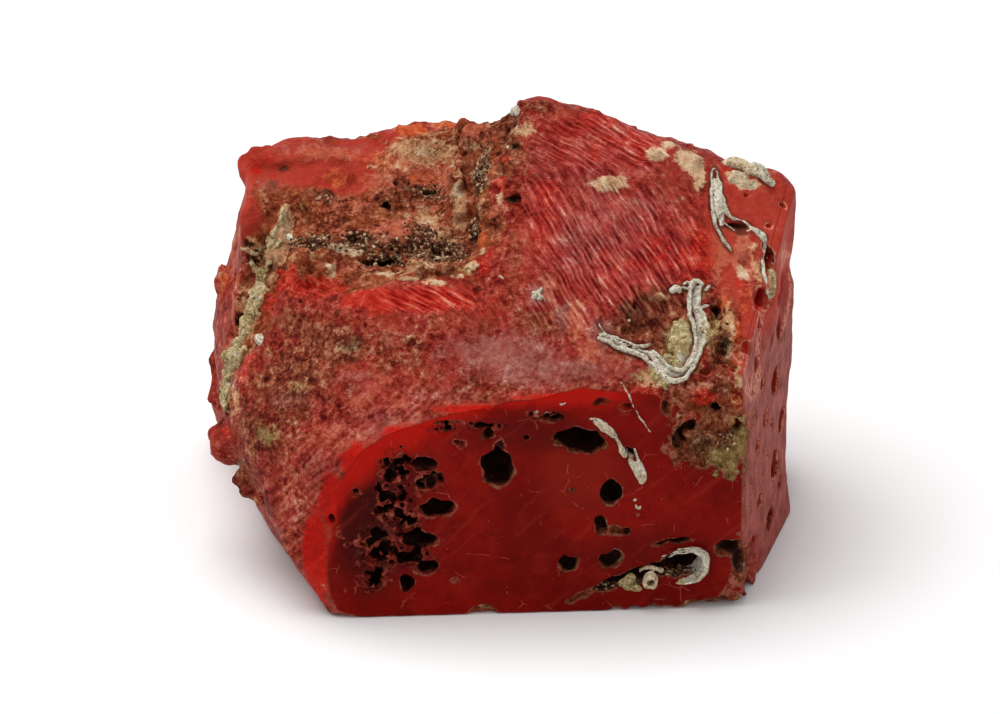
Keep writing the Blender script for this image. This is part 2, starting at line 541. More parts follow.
def mesh_from_field(name, field, low, high, voxel, block=4):
    """A closed mesh in metres where a field is nought, worked out only in blocks near the surface."""
    margin = 3 * voxel
    low = np.array(low, float) - margin
    blocks = np.ceil((np.array(high, float) - low + margin) / (voxel * block)).astype(int)
    index = np.stack(np.meshgrid(*(np.arange(n) for n in blocks), indexing="ij"), -1).reshape(-1, 3)
    middles = low + (index + 0.5) * block * voxel - voxel / 2
    rough = field(middles.astype(np.float32))
    volume = rough.reshape(blocks).astype(np.float32)
    for axis in range(3):
        volume = np.repeat(volume, block, axis)
    near = index[np.abs(rough) < block * voxel * 1.25]
    inner = np.stack(np.meshgrid(*(np.arange(block),) * 3, indexing="ij"), -1).reshape(-1, 3)
    fine = (near[:, None] * block + inner).reshape(-1, 3)
    volume[tuple(fine.T)] = field((low + fine * voxel).astype(np.float32))
    grid = openvdb.FloatGrid(float(voxel))
    grid.copyFromArray(volume)
    points, triangles, quads = grid.convertToPolygons(isovalue=0.0, adaptivity=0.0)
    points = (points * voxel + low) * MM
    faces = [face[::-1] for face in quads.tolist()] + [face[::-1] for face in triangles.tolist()]
    mesh = bpy.data.meshes.new(name)
    mesh.from_pydata(points.tolist(), [], faces)
    mesh.validate()
    return mesh


def new_piece(name, mesh):
    piece = bpy.data.objects.new(name, mesh)
    bpy.context.scene.collection.objects.link(piece)
    return piece


def with_modifiers_applied(piece):
    """The piece as its modifiers show it, with the modifiers gone."""
    shown = piece.evaluated_get(bpy.context.evaluated_depsgraph_get())
    mesh = bpy.data.meshes.new_from_object(shown)
    piece.modifiers.clear()
    old, piece.data = piece.data, mesh
    mesh.name = old.name
    return piece


def corners_of(mesh):
    """Where a mesh's corners are, in millimetres."""
    places = np.empty(len(mesh.vertices) * 3, np.float32)
    mesh.vertices.foreach_get("co", places)
    return places.reshape(-1, 3) / np.float32(MM)


low, high = (np.array(corner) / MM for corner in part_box("coral"))
coral = new_piece("coral_dressed", mesh_from_field("coral", coral_field, low - 0.3, high + 0.3, CORAL_VOXEL))

# The back, which no picture shows closely, and the flat cuts take fewer triangles than the rough front
corners = corners_of(coral.data)
plain = corners @ view_near.astype(np.float32) < PLAIN_BEYOND
plain |= (np.abs(beyond(corners, FRONT_CUT)) < FLAT_WITHIN) | (corners[:, 2] < PLAIN_BELOW)
plain |= corners[:, 1] > PLAIN_BEHIND
thinned_most = coral.vertex_groups.new(name="plain")
thinned_most.add(np.flatnonzero(plain).tolist(), THINNING["plain"], "REPLACE")
thinned_most.add(np.flatnonzero(~plain).tolist(), THINNING["rough"], "REPLACE")
thinning = coral.modifiers.new("thinning", "DECIMATE")
thinning.ratio = min(1.0, CORAL_TRIANGLES / (2 * len(coral.data.polygons)))
thinning.vertex_group = "plain"
coral = with_modifiers_applied(coral)
coral.vertex_groups.clear()
coral.data.polygons.foreach_set("use_smooth", [True] * len(coral.data.polygons))
flats = coral.modifiers.new("flats", "WEIGHTED_NORMAL")
flats.mode = "FACE_AREA"
coral = with_modifiers_applied(coral)

# Where the photograph shows each stain on the coral: pixel across and down, half width and height, strength
STAINS = {
    "ridged": [
        (620, 250, 80, 70, 1), (600, 150, 66, 34, 1), (430, 300, 60, 14, 0.8), (550, 200, 26, 60, 0.8),
        (560, 310, 50, 24, 0.6), (690, 210, 20, 50, 0.5), (340, 292, 40, 10, 0.5), (470, 310, 40, 14, 0.5),
    ],
    "flowing": [
        (330, 470, 46, 46, 1), (385, 415, 60, 22, 0.9), (285, 520, 26, 60, 1), (450, 388, 60, 10, 0.8),
        (300, 420, 30, 20, 0.5), (610, 390, 50, 8, 0.5), (310, 560, 20, 40, 0.9),
    ],
    "cream": [
        (609, 184, 19, 8, 1), (656, 155, 11, 7, 1), (688, 158, 14, 15, 1), (698, 176, 6, 18, 1),
        (668, 146, 8, 6, 0.8), (428, 150, 20, 7, 0.6), (440, 143, 14, 5, 0.5), (458, 205, 4, 26, 0.7),
        (331, 270, 8, 9, 0.7), (745, 184, 20, 6, 0.8), (733, 176, 10, 5, 0.7), (740, 273, 6, 9, 0.9),
        (344, 246, 16, 4, 0.8), (355, 253, 14, 4, 0.9), (275, 258, 6, 8, 0.7), (769, 283, 5, 12, 0.8),
        (458, 277, 10, 3, 0.8), (472, 267, 7, 6, 0.8), (483, 254, 5, 8, 0.7), (385, 273, 16, 3, 0.7),
        (412, 279, 14, 3, 0.7), (436, 283, 13, 3, 0.8), (371, 166, 6, 4, 0.6), (285, 222, 5, 18, 0.8),
        (500, 200, 4, 8, 0.7), (727, 345, 5, 18, 0.6), (545, 408, 12, 5, 0.9), (768, 562, 6, 14, 0.8),
        (706, 568, 5, 14, 0.6), (648, 580, 9, 8, 0.8),
    ],
    "tan": [
        (470, 145, 10, 8, 0.7), (425, 152, 40, 16, 0.8), (459, 208, 8, 34, 0.9), (285, 228, 9, 24, 1),
        (276, 256, 14, 13, 1), (461, 205, 6, 34, 0.8), (440, 280, 28, 4, 0.3), (400, 273, 24, 4, 0.4),
        (350, 345, 22, 10, 0.45), (378, 338, 12, 8, 0.4), (268, 430, 14, 10, 0.35), (300, 350, 14, 7, 0.3),
        (702, 601, 42, 4, 1), (655, 598, 30, 4, 1), (253, 246, 10, 10, 0.9), (640, 585, 24, 6, 0.6),
        (760, 275, 6, 22, 0.7), (692, 293, 12, 9, 0.9), (500, 112, 10, 5, 0.6), (245, 300, 10, 20, 0.6),
        (235, 400, 8, 22, 0.6), (428, 222, 16, 14, 0.7), (445, 240, 14, 18, 0.7), (420, 262, 26, 6, 0.6),
        (345, 208, 16, 4, 0.5), (752, 255, 5, 14, 0.6), (655, 378, 14, 10, 0.8), (727, 330, 6, 28, 0.9),
        (736, 372, 5, 18, 0.9), (520, 130, 16, 7, 0.7), (488, 150, 8, 8, 0.5), (410, 165, 30, 8, 0.5),
        (664, 298, 14, 6, 0.4),
    ],
    "flesh": [
        (400, 230, 28, 16, 1), (345, 205, 36, 12, 0.7), (425, 164, 42, 18, 1.2), (324, 152, 40, 9, 0.8),
        (440, 190, 20, 26, 0.8), (471, 131, 14, 12, 1), (385, 182, 26, 12, 0.8), (360, 268, 14, 7, 0.6),
        (338, 268, 10, 9, 1), (330, 225, 24, 12, 0.6), (495, 215, 10, 14, 0.7), (742, 258, 12, 24, 1),
        (640, 300, 20, 14, 0.4), (575, 325, 9, 26, 0.9), (590, 350, 14, 12, 0.8), (232, 300, 10, 30, 0.7),
        (225, 360, 10, 40, 0.6), (235, 250, 10, 30, 0.6), (728, 580, 14, 10, 0.6), (461, 205, 8, 34, 0.9),
        (408, 128, 14, 7, 0.5), (290, 490, 14, 40, 0.4), (340, 440, 24, 24, 0.3), (716, 255, 18, 28, 0.7),
        (705, 225, 10, 20, 0.4), (700, 388, 20, 8, 0.6), (722, 300, 8, 30, 0.5), (740, 500, 8, 30, 0.4),
        (500, 250, 8, 20, 0.7), (672, 390, 16, 14, 0.6), (548, 285, 10, 16, 0.6),
    ],
    "brown": [
        (290, 385, 46, 44, 0.8), (262, 430, 34, 34, 0.7), (330, 345, 44, 24, 0.9), (410, 350, 34, 22, 0.5),
        (300, 325, 30, 18, 0.7), (722, 410, 26, 36, 0.5), (700, 440, 28, 32, 0.8), (722, 335, 16, 44, 0.9),
        (650, 330, 40, 30, 1.1), (640, 385, 26, 12, 0.6), (690, 388, 34, 12, 0.9), (250, 480, 24, 40, 0.6),
        (290, 560, 16, 24, 0.6), (310, 590, 12, 14, 0.6), (690, 290, 22, 14, 0.5), (508, 122, 28, 14, 0.9),
        (535, 108, 16, 7, 0.8), (505, 165, 22, 30, 0.7), (400, 198, 34, 14, 0.7), (480, 390, 40, 8, 0.3),
        (545, 320, 34, 22, 0.6), (590, 290, 20, 20, 0.3), (350, 250, 40, 20, 0.6), (735, 385, 8, 30, 0.6),
        (660, 310, 34, 24, 0.9), (768, 520, 12, 30, 0.5),
    ],
    "scarlet": [
        (425, 300, 60, 13, 1), (262, 160, 16, 10, 0.6), (318, 288, 34, 14, 0.9), (285, 278, 16, 20, 0.9),
        (262, 216, 10, 10, 0.5), (504, 160, 8, 8, 0.7), (499, 185, 8, 12, 0.7), (484, 266, 8, 12, 0.8),
        (250, 357, 8, 12, 0.8), (243, 372, 6, 12, 0.7), (268, 300, 10, 24, 0.7), (702, 398, 16, 10, 0.9),
        (690, 418, 12, 12, 0.6), (228, 430, 8, 10, 0.5), (700, 255, 14, 40, 0.8), (545, 200, 22, 40, 0.35),
        (685, 268, 20, 24, 0.6), (330, 182, 20, 10, 0.5), (600, 120, 30, 8, 0.5), (232, 282, 8, 9, 0.6),
        (735, 175, 20, 12, 0.5), (335, 455, 14, 12, 0.4), (372, 300, 34, 14, 0.9), (640, 400, 30, 16, 0.8),
        (738, 284, 6, 5, 1), (460, 292, 20, 8, 0.7), (492, 250, 9, 18, 0.5),
    ],
    "deep": [
        (316, 560, 11, 50, 1.2), (334, 500, 13, 28, 1.1), (360, 460, 18, 16, 1), (408, 432, 24, 8, 0.9),
        (480, 409, 50, 4, 0.9), (560, 397, 40, 4, 0.9), (660, 250, 14, 24, 0.4), (640, 408, 20, 10, 0.6),
        (255, 172, 9, 10, 0.5),
    ],
    "haze": [
        (545, 370, 64, 18, 0.9), (500, 352, 60, 20, 0.9), (625, 372, 24, 10, 0.5), (585, 240, 30, 40, 0.6),
        (620, 215, 50, 50, 0.5), (325, 148, 50, 8, 0.5), (600, 338, 12, 20, 1), (570, 318, 14, 18, 0.9),
        (540, 295, 12, 14, 1), (440, 395, 40, 8, 0.4), (385, 420, 50, 16, 0.5), (540, 160, 16, 30, 0.3),
        (330, 470, 24, 26, 0.4), (295, 400, 30, 10, 0.5), (355, 380, 30, 12, 0.4), (270, 186, 12, 10, 0.4),
        (630, 372, 20, 10, 0.6),
    ],
    "olive": [
        (676, 348, 14, 26, 0.9), (728, 460, 17, 26, 1.2), (712, 458, 12, 18, 0.8), (262, 256, 10, 12, 0.6),
        (228, 398, 6, 16, 0.7), (470, 270, 12, 7, 0.7), (764, 575, 10, 20, 0.9), (690, 603, 50, 4, 0.6),
        (738, 440, 10, 30, 1), (266, 434, 14, 12, 0.7), (300, 388, 20, 12, 0.4), (776, 545, 6, 10, 0.8),
        (304, 205, 4, 16, 0.6), (350, 340, 16, 8, 0.4), (712, 330, 10, 26, 0.7), (640, 375, 12, 8, 0.5),
        (700, 372, 12, 14, 0.5),
    ],
    "orange": [
        (340, 178, 20, 10, 0.7), (410, 128, 18, 7, 1), (447, 122, 16, 6, 1), (425, 178, 22, 9, 0.6),
        (334, 273, 9, 6, 0.9), (492, 172, 6, 12, 0.6), (481, 240, 5, 16, 0.8), (380, 160, 20, 10, 0.6),
        (224, 282, 5, 10, 0.8), (745, 300, 10, 22, 0.5), (735, 395, 6, 34, 0.6), (250, 500, 20, 24, 0.5),
        (262, 495, 10, 12, 0.6), (734, 345, 7, 26, 0.9), (722, 305, 8, 12, 0.7), (738, 520, 6, 20, 0.4),
        (470, 262, 10, 14, 0.5), (700, 255, 10, 40, 0.3), (300, 590, 12, 20, 0.5),
    ],
    "dark": [
        (483, 172, 9, 26, 0.8), (479, 235, 8, 14, 0.7), (357, 242, 16, 8, 1), (388, 265, 25, 5, 0.8),
        (310, 242, 22, 6, 0.5), (517, 147, 9, 7, 1), (513, 200, 9, 5, 1), (386, 205, 7, 6, 1),
        (445, 258, 15, 5, 1), (417, 190, 12, 6, 0.9), (255, 262, 6, 6, 1), (267, 276, 5, 5, 1),
        (330, 192, 8, 5, 0.9), (415, 250, 14, 8, 0.6), (395, 245, 6, 6, 1), (240, 320, 5, 10, 0.8),
        (733, 560, 20, 12, 0.8), (620, 584, 30, 8, 0.8), (712, 570, 4, 18, 1), (677, 434, 6, 14, 0.9),
        (665, 342, 6, 18, 0.5), (737, 228, 13, 4, 1), (768, 258, 6, 16, 0.6), (698, 446, 14, 14, 0.7),
        (640, 314, 24, 18, 0.5), (664, 404, 5, 14, 0.6), (354, 344, 22, 9, 0.6), (262, 425, 16, 14, 0.4),
        (283, 168, 7, 6, 0.5), (272, 184, 8, 6, 0.5), (275, 225, 8, 12, 0.4),
    ],
}


def stained(points, spots):
    return spread_over(points, spots, on_surface([spot[:2] for spot in spots], coral_field))


def keep(piece, name, values):
    """Keeps a number for each corner of a piece's mesh, for its finish to read."""
    attribute = piece.data.attributes.new(name, "FLOAT", "POINT")
    attribute.data.foreach_set("value", np.asarray(values, np.float32))


corners = corners_of(coral.data)
shape, hull, block = grown(corners), natural_hull(corners), sawn_block(corners)
keep(coral, "bored", np.clip(-block, 0, 3))
keep(coral, "crumbled", eased(shape - hull, 0.15, 0.8))
keep(coral, "waxy", spread_over(corners, WAXY, waxy_middles))
for stain, spots in STAINS.items():
    keep(coral, stain, stained(corners, spots))


def paint(red, green, blue):
    """A colour given as a screen shows it, as the linear one that a shader takes."""
    shown = np.array([red, green, blue]) / 255
    linear = np.where(shown <= 0.04045, shown / 12.92, ((shown + 0.055) / 1.055) ** 2.4)
    return (*linear.tolist(), 1.0)


class Value:
    """A number or a colour that a material's nodes work out. Sums with it add nodes."""

    def __init__(self, finish, socket):
        self.finish, self.socket = finish, socket

    def maths(self, operation, a, b=0.0):
        return self.finish.node("Math", {0: a, 1: b}, operation=operation)

    def __add__(self, other):
        return self.maths("ADD", self, other)

    def __sub__(self, other):
        return self.maths("SUBTRACT", self, other)

    def __rsub__(self, other):
        return self.maths("SUBTRACT", other, self)

    def __mul__(self, other):
        return self.maths("MULTIPLY", self, other)

    def __abs__(self):
        return self.maths("ABSOLUTE", self)

    def sine(self):
        return self.maths("SINE", self)

    def or_more(self, other):
        """The larger of the two."""
        return self.maths("MAXIMUM", self, other)

    def swung(self, swing):
        """Noise around a half, as noise around nothing that swings this far."""
        return (self - 0.5) * swing

    def eased(self, start, end):
        """From 0 at the start to 1 at the end, with a smooth bend at each."""
        inputs = {"Value": self, "From Min": start, "From Max": end}
        return self.finish.node("MapRange", inputs, interpolation_type="SMOOTHSTEP")


class Finish:
    """The nodes of one material. Each method adds a node and returns its output."""

    def __init__(self, name, specular):
        self.material = bpy.data.materials.new(name)
        self.material.use_nodes = True
        self.tree = self.material.node_tree
        self.shader = self.tree.nodes["Principled BSDF"].inputs
        self.shader["Specular IOR Level"].default_value = specular
        place = Value(self, self.tree.nodes.new("ShaderNodeTexCoord").outputs["Object"])
        self.place = self.node("VectorMath", {0: place, "Scale": 1 / MM}, operation="SCALE")

    def join(self, value, socket):
        if isinstance(value, Value):
            self.tree.links.new(value.socket, socket)
        else:
            socket.default_value = value

    def node(self, kind, inputs, output=0, **settings):
        node = self.tree.nodes.new("ShaderNode" + kind)
        for name, value in settings.items():
            setattr(node, name, value)
        for name, value in inputs.items():
            self.join(value, node.inputs[name])
        return Value(self, node.outputs[output])

    def kept(self, name):
        return self.node("Attribute", {}, "Fac", attribute_name=name)

    def noise(self, scale, detail=3.0, roughness=0.55, distortion=0.0, place=None):
        inputs = {"Vector": place or self.place, "Scale": scale, "Detail": detail}
        return self.node("TexNoise", inputs | {"Roughness": roughness, "Distortion": distortion}, "Fac")

    def cells(self, scale, feature="F1", place=None):
        inputs = {"Vector": place or self.place, "Scale": scale}
        return self.node("TexVoronoi", inputs, "Distance", feature=feature)

    def mix(self, share, a, b):
        """One colour where the share is nothing, the other where it is 1."""
        return self.node("Mix", {0: share, 6: a, 7: b}, 2, data_type="RGBA")

    def fade(self, share, a, b):
        """One number where the share is nothing, the other where it is 1."""
        return self.node("Mix", {0: share, 2: a, 3: b}, data_type="FLOAT")

    def along(self, way):
        return self.node("VectorMath", {0: self.place, 1: tuple(way)}, "Value", operation="DOT_PRODUCT")

    def around(self, middle, radii):
        """1 in the middle of an ellipsoid, nothing outside it."""
        away = self.node("VectorMath", {0: self.place, 1: middle}, operation="SUBTRACT")
        away = self.node("VectorMath", {0: away, 1: radii}, operation="DIVIDE")
        return self.node("VectorMath", {0: away}, "Value", operation="LENGTH").eased(1.0, 0.3)

    def beyond(self, face):
        """How far the place is in front of a flat face, in millimetres."""
        faces, through = face
        away = unit(faces)
        return self.along(away) - float(away @ np.array(through, float))

    def ramp(self, value, colours):
        """Colours from dark to light, evenly along a value from 0 to 1."""
        node = self.tree.nodes.new("ShaderNodeValToRGB")
        self.join(value, node.inputs["Fac"])
        stops = node.color_ramp.elements
        while len(stops) < len(colours):
            stops.new(0.5)
        for i, colour in enumerate(colours):
            stops[i].position = i / (len(colours) - 1)
            stops[i].color = paint(*colour)
        return Value(self, node.outputs["Color"])

    def finished(self, colour, roughness, relief, height):
        """The material, with its colour, its roughness and a relief this many millimetres high."""
        self.join(colour, self.shader["Base Color"])
        self.join(roughness, self.shader["Roughness"])
        bump = self.node("Bump", {"Height": relief, "Distance": height * MM, "Strength": 1.0})
        self.join(bump, self.shader["Normal"])
        return self.material


def highest(values):
    """The largest of several values at each place."""
    return functools.reduce(Value.or_more, values)


# The colours of each part of the coral, from its darkest hollows to its brightest grains
SHADES = {
    "skin": [(44, 7, 6), (100, 20, 14), (145, 44, 32), (178, 82, 64), (208, 142, 120)],
    "facet": [(80, 8, 11), (128, 28, 26), (162, 54, 48), (188, 90, 80), (232, 170, 156)],
    "waxy": [(110, 18, 12), (148, 37, 26), (166, 55, 41), (178, 74, 57), (206, 124, 104)],
    "rubble": [(27, 10, 6), (92, 34, 19), (140, 65, 38), (177, 104, 67), (217, 168, 122)],
    "brown": [(24, 10, 7), (76, 28, 17), (120, 56, 35), (160, 98, 68), (200, 148, 112)],
    "flesh": [(104, 30, 20), (152, 62, 42), (184, 94, 70), (204, 128, 100), (232, 178, 154)],
    "deep": [(96, 4, 2), (150, 10, 4), (178, 20, 9), (190, 42, 28), (214, 98, 78)],
    "haze": [(98, 38, 34), (128, 66, 58), (152, 95, 85), (182, 134, 124), (220, 196, 186)],
    "scarlet": [(96, 4, 3), (152, 19, 12), (180, 44, 30), (204, 90, 70), (236, 164, 140)],
    "orange": [(100, 24, 10), (164, 56, 26), (196, 86, 44), (212, 122, 76), (230, 174, 126)],
    "tan": [(94, 50, 30), (158, 100, 66), (196, 142, 102), (216, 178, 138), (238, 218, 188)],
    "cream": [(118, 78, 52), (176, 132, 94), (206, 172, 134), (224, 200, 168), (242, 228, 206)],
    "olive": [(50, 34, 16), (104, 78, 40), (140, 116, 66), (170, 148, 94), (204, 186, 138)],
    "soiled": [(16, 8, 6), (44, 18, 13), (78, 34, 24), (116, 62, 44), (160, 108, 84)],
    "dark": [(14, 9, 7), (38, 22, 15), (70, 42, 28), (118, 78, 52), (182, 142, 108)],
    "bore": [(20, 8, 6), (44, 20, 14), (78, 44, 32)],
}
# Patches of other shades on the skin and on the rubble: where their noise is taken, shade, strength
SKIN_PATCHES = [(8, "facet", 0.6), (9, "brown", 0.55), (10, "flesh", 0.3)]
RUBBLE_PATCHES = [(1, "flesh", 0.9), (2, "tan", 0.7), (3, "dark", 0.35), (4, "brown", 0.6)]
# How strongly each stain covers what is under it, and at how much of the stain it starts and is full
COVERING = {
    "brown": (0.85, 0.3, 0.7), "haze": (0.75, 0.1, 1.2), "flesh": (0.85, 0.3, 0.8),
    "scarlet": (0.9, 0.3, 0.8), "deep": (0.95, 0.3, 0.7), "orange": (0.85, 0.3, 0.8),
    "tan": (0.9, 0.3, 0.7), "olive": (0.85, 0.3, 0.9), "cream": (0.9, 0.3, 0.75), "dark": (0.85, 0.3, 0.7),
    "soiled": (0.85, 0.4, 0.9),
}
# Single colours of the bores, the sawn front and the sawn right side
TINTS = {
    "bored deep": (40, 18, 12), "polished": (128, 11, 3), "polished darker": (104, 6, 2),
    "bloom": (138, 26, 14), "smoke": (72, 3, 2), "rim": (172, 18, 8), "flow": (158, 50, 36),
    "scratch": (190, 90, 74), "dust": (214, 130, 112), "sponge": (74, 26, 20), "sponge holes": (26, 5, 4),
    "lip": (168, 100, 84), "frosted": (162, 76, 66), "frosted darker": (132, 52, 42),
    "frost": (190, 120, 106), "saw mark": (100, 26, 20), "speck": (92, 16, 12), "side pit": (172, 30, 22),
    "side pit deep": (112, 12, 9), "side lip": (206, 130, 108),
}
# Clouds in the polished front: middle, radii, strength, colour
CLOUDS = [
    ((4.6, -11.4, 9.2), (3.4, 3.0, 4.0), 0.45, (140, 34, 18)),
    ((-7.6, -11.4, 6.4), (4.1, 3.0, 7.2), 0.9, (54, 3, 2)),
    ((2.0, -11.4, 11.8), (6.2, 3.0, 1.7), 0.5, (70, 8, 5)),
    ((9.0, -11.4, 3.8), (6.0, 3.0, 2.2), 0.45, (66, 6, 3)),
]
# Where the sawn front's right edge has broken away: middle and radii
TORN_EDGE = ((12.6, -11.4, 12.2), (3.4, 4.0, 4.9))
RIDGE_SPACING = 0.27
# The ways the growth ridges run, as the photograph shows them: across them, to the right and up
LOWER_RIDGES = (0.85, 0.53)
UPPER_RIDGES = (0.5, 0.87)
FLOW_LINES = (-0.64, 0.77)
# How wide the bright rim of the sawn front is along each natural face, in millimetres
RIMS = {"slope": 0.7, "left slope": 1.2, "front left": 0.5}
# How far along the next place is that noise is taken from, so that no two noises match
NOISE_STEP = 17
UP = (0, 0, 1)
BACK = (0, 1, 0)
CORAL_GLOSS = 0.04
CORAL_RELIEF = 0.16


def coral_finish():
    f = Finish("red_coral", CORAL_GLOSS)
    bored, crumbled, waxy, ridges = (f.kept(name) for name in ("bored", "crumbled", "waxy", "ridged"))
    from_front, from_right = f.beyond(FRONT_CUT), f.beyond(RIGHT_CUT)
    off_front, off_right = abs(from_front), abs(from_right)
    rightwards, upwards = f.along(view_right), f.along(UP)
    broad, patchy = f.noise(0.35, 4), f.noise(1.3, 4, 0.6)
    fine, grit = f.noise(4.0, 4, 0.65), f.noise(9.0, 3, 0.6)

    def noise_at(steps, scale, detail, roughness=0.6):
        place = f.node("VectorMath", {0: f.place, 1: (NOISE_STEP * steps, 0, 0)})
        return f.noise(scale, detail, roughness, 0, place)

    def striped(ways, scale, stretch):
        """Noise drawn out into lines, and how far across the lines the place is."""
        across = f.along(ways[0] * view_right + ways[1] * view_up) + f.noise(0.4, 2).swung(0.6)
        along = f.along(ways[1] * view_right - ways[0] * view_up)
        place = f.node("CombineXYZ", {"X": across, "Y": along * stretch})
        return f.noise(scale, 2, 0.5, 0.1, place), across

    def tinted(share, colour, name):
        return f.mix(share, colour, paint(*TINTS[name]))

    def stain(name, start=0.3, full=0.7):
        """How much of a stain shows: all of it in its middle, flecks of it towards its edge."""
        flecks = patchy.swung(1.6) + fine.swung(0.96)
        return (f.kept(name) + flecks).eased(start, full)

    # Growth ridges run down over the slope, and flow round the left of the front
    lower, lower_across = striped(LOWER_RIDGES, 4.6, 0.14)
    upper, upper_across = striped(UPPER_RIDGES, 4.6, 0.14)
    picture_up = f.along(view_up) - float(photograph_middle @ view_up)
    high_up = (picture_up + broad.swung(3)).eased(9.6, 11.6)
    which = high_up.or_more(rightwards.eased(-0.5, -2.5))
    streaks = f.fade(which, lower, upper)
    waves = f.fade(which, lower_across, upper_across) * (1 / RIDGE_SPACING)
    waves = ((waves + f.noise(0.7, 2)) * (2 * math.pi)).sine()
    waves = waves.eased(0.1, 0.95) * noise_at(6, 0.9, 3).eased(0.4, 0.56)
    flow, _ = striped(FLOW_LINES, 3.0, 0.12)
    flowing = f.kept("flowing") * (1 - crumbled)
    ridged = f.fade(waxy.or_more(crumbled), ridges.eased(0.1, 0.8), 0.05)

    # Some patches are smooth and some gritty, with single bright grains
    gritty = (noise_at(7, 0.6, 3) + f.kept("brown") * 0.3).eased(0.38, 0.66)
    mottle = fine.swung(1.3) + grit.swung(0.6) + (patchy.swung(0.9) + f.noise(2.2, 3, 0.6).swung(1.1))
    mottle = mottle * f.fade(gritty, 0.55, 1.1) * f.fade(f.kept("haze"), 1.0, 0.6)
    mottle = mottle * f.fade(ridged, 1.0, 0.5)
    mottle = (streaks.swung(1.7) + waves * -0.2) * ridged + mottle
    mottle = flow.swung(0.9) * flowing + mottle
    mottle = mottle * f.fade(waxy, 1.0, 0.35)
    glint = f.cells(3.6).eased(0.2, 0.08) * f.noise(2.2, 2).eased(0.5, 0.62)
    tone = mottle + 0.5 + broad.swung(0.5) + glint * 0.35 * f.fade(waxy, 1.0, 0.2)
    shades = {name: f.ramp(tone, colours) for name, colours in SHADES.items()}

    def patched(colour, patches, scale, roughness, start, full):
        for steps, name, strength in patches:
            patch = noise_at(steps, scale, 4, roughness).eased(start, full)
            colour = f.mix(patch * strength, colour, shades[name])
        return colour

    # The skin, then the rubble where the branch is broken, then every stain
    colour = patched(shades["skin"], SKIN_PATCHES, 0.7, 0.6, 0.52, 0.64)
    colour = f.mix(flowing * flow.eased(0.46, 0.62) * 0.3, colour, shades["flesh"])
    colour = f.mix(ridges.eased(0.2, 0.9) * 0.85, colour, shades["facet"])
    redder = ridges * noise_at(11, 0.5, 3).eased(0.5, 0.66)
    colour = f.mix(redder * 0.6, colour, shades["scarlet"])
    rubble = patched(shades["rubble"], RUBBLE_PATCHES, 0.8, 0.7, 0.54, 0.62)
    broken, smooth = crumbled.eased(0.2, 0.6), waxy.eased(0.3, 0.7)
    colour = f.mix(broken, colour, rubble)
    colour = f.mix(smooth, colour, shades["waxy"])
    for name, (strength, start, full) in COVERING.items():
        colour = f.mix(stain(name, start, full) * strength, colour, shades[name])
    colour = tinted(bored.eased(0.3, 1.1), colour, "bored deep")
    in_front = from_front.eased(-2.8, -2.4)
    colour = f.mix(in_front * bored.eased(0.1, 0.6), colour, shades["bore"])

    # The sawn and polished front: dark red inside, with a scarlet rim round its left and top
    torn = f.around(*TORN_EDGE)
    torn_flecks = patchy.swung(2.4) + fine.swung(0.8)
    torn = (torn + torn_flecks).eased(0.35, 0.6) * torn.eased(0.02, 0.2)
    front = off_front.eased(0.09, 0.03) * (1 - torn)
    depths = {name: f.beyond(NATURAL_FACES[name]) for name in RIMS}
    edge_near = highest(depths.values())
    rim = highest([depth * (1 / RIMS[name]) for name, depth in depths.items()])
    rim = (rim + f.noise(0.8).swung(0.9)).eased(-1.5, -0.4)
    rim = rim * rightwards.eased(9.0, 6.0) * f.fade(upwards.eased(0.5, 6.0), 0.5, 1.0)
    polished = tinted(f.noise(0.22, 3).eased(0.35, 0.65), paint(*TINTS["polished"]), "polished darker")
    polished = tinted(f.noise(0.7, 4, 0.6).eased(0.45, 0.75) * 0.5, polished, "bloom")
    polished = tinted(f.noise(1.6, 5, 0.7).eased(0.5, 0.3) * 0.4, polished, "smoke")
    for middle, radii, strength, cloud in CLOUDS:
        polished = f.mix(f.around(middle, radii) * strength, polished, paint(*cloud))
    polished = tinted(rim, polished, "rim")
    long_flow, _ = striped(FLOW_LINES, 1.6, 0.1)
    polished = tinted(long_flow.eased(0.58, 0.72) * 0.18, polished, "flow")
    swirl = f.node("TexNoise", {"Vector": f.place, "Scale": 0.5}, "Color")
    bent = f.node("VectorMath", {0: f.place, 1: swirl})
    scratch = f.cells(0.45, "DISTANCE_TO_EDGE", bent).eased(0.02, 0.005) * f.noise(0.9, 2).eased(0.56, 0.64)
    polished = tinted(scratch * 0.3, polished, "scratch")
    dust = f.cells(2.2).eased(0.06, 0.03) * f.noise(3.0).eased(0.5, 0.6)
    polished = tinted(dust, polished, "dust")
    sponge = highest([
        f.around((x, FRONT_CUT[1][1], z), (1.35 * half_width, 4.0, 1.35 * half_height))
        for x, z, half_width, half_height, _ in SPONGES
    ])
    polished = tinted(sponge * fine.eased(0.46, 0.6) * 0.6, polished, "sponge")
    polished = tinted(sponge * fine.eased(0.52, 0.4) * 0.85, polished, "sponge holes")
    colour = f.mix(front, colour, polished)
    lip = off_front.eased(0.02, 0.05) * off_front.eased(0.2, 0.08) * fine.eased(0.4, 0.56)
    lip = lip * edge_near.eased(-0.9, -1.2) * f.fade(sponge.eased(0.0, 0.3), 1.0, 0.12)
    colour = tinted(lip * 0.6, colour, "lip")

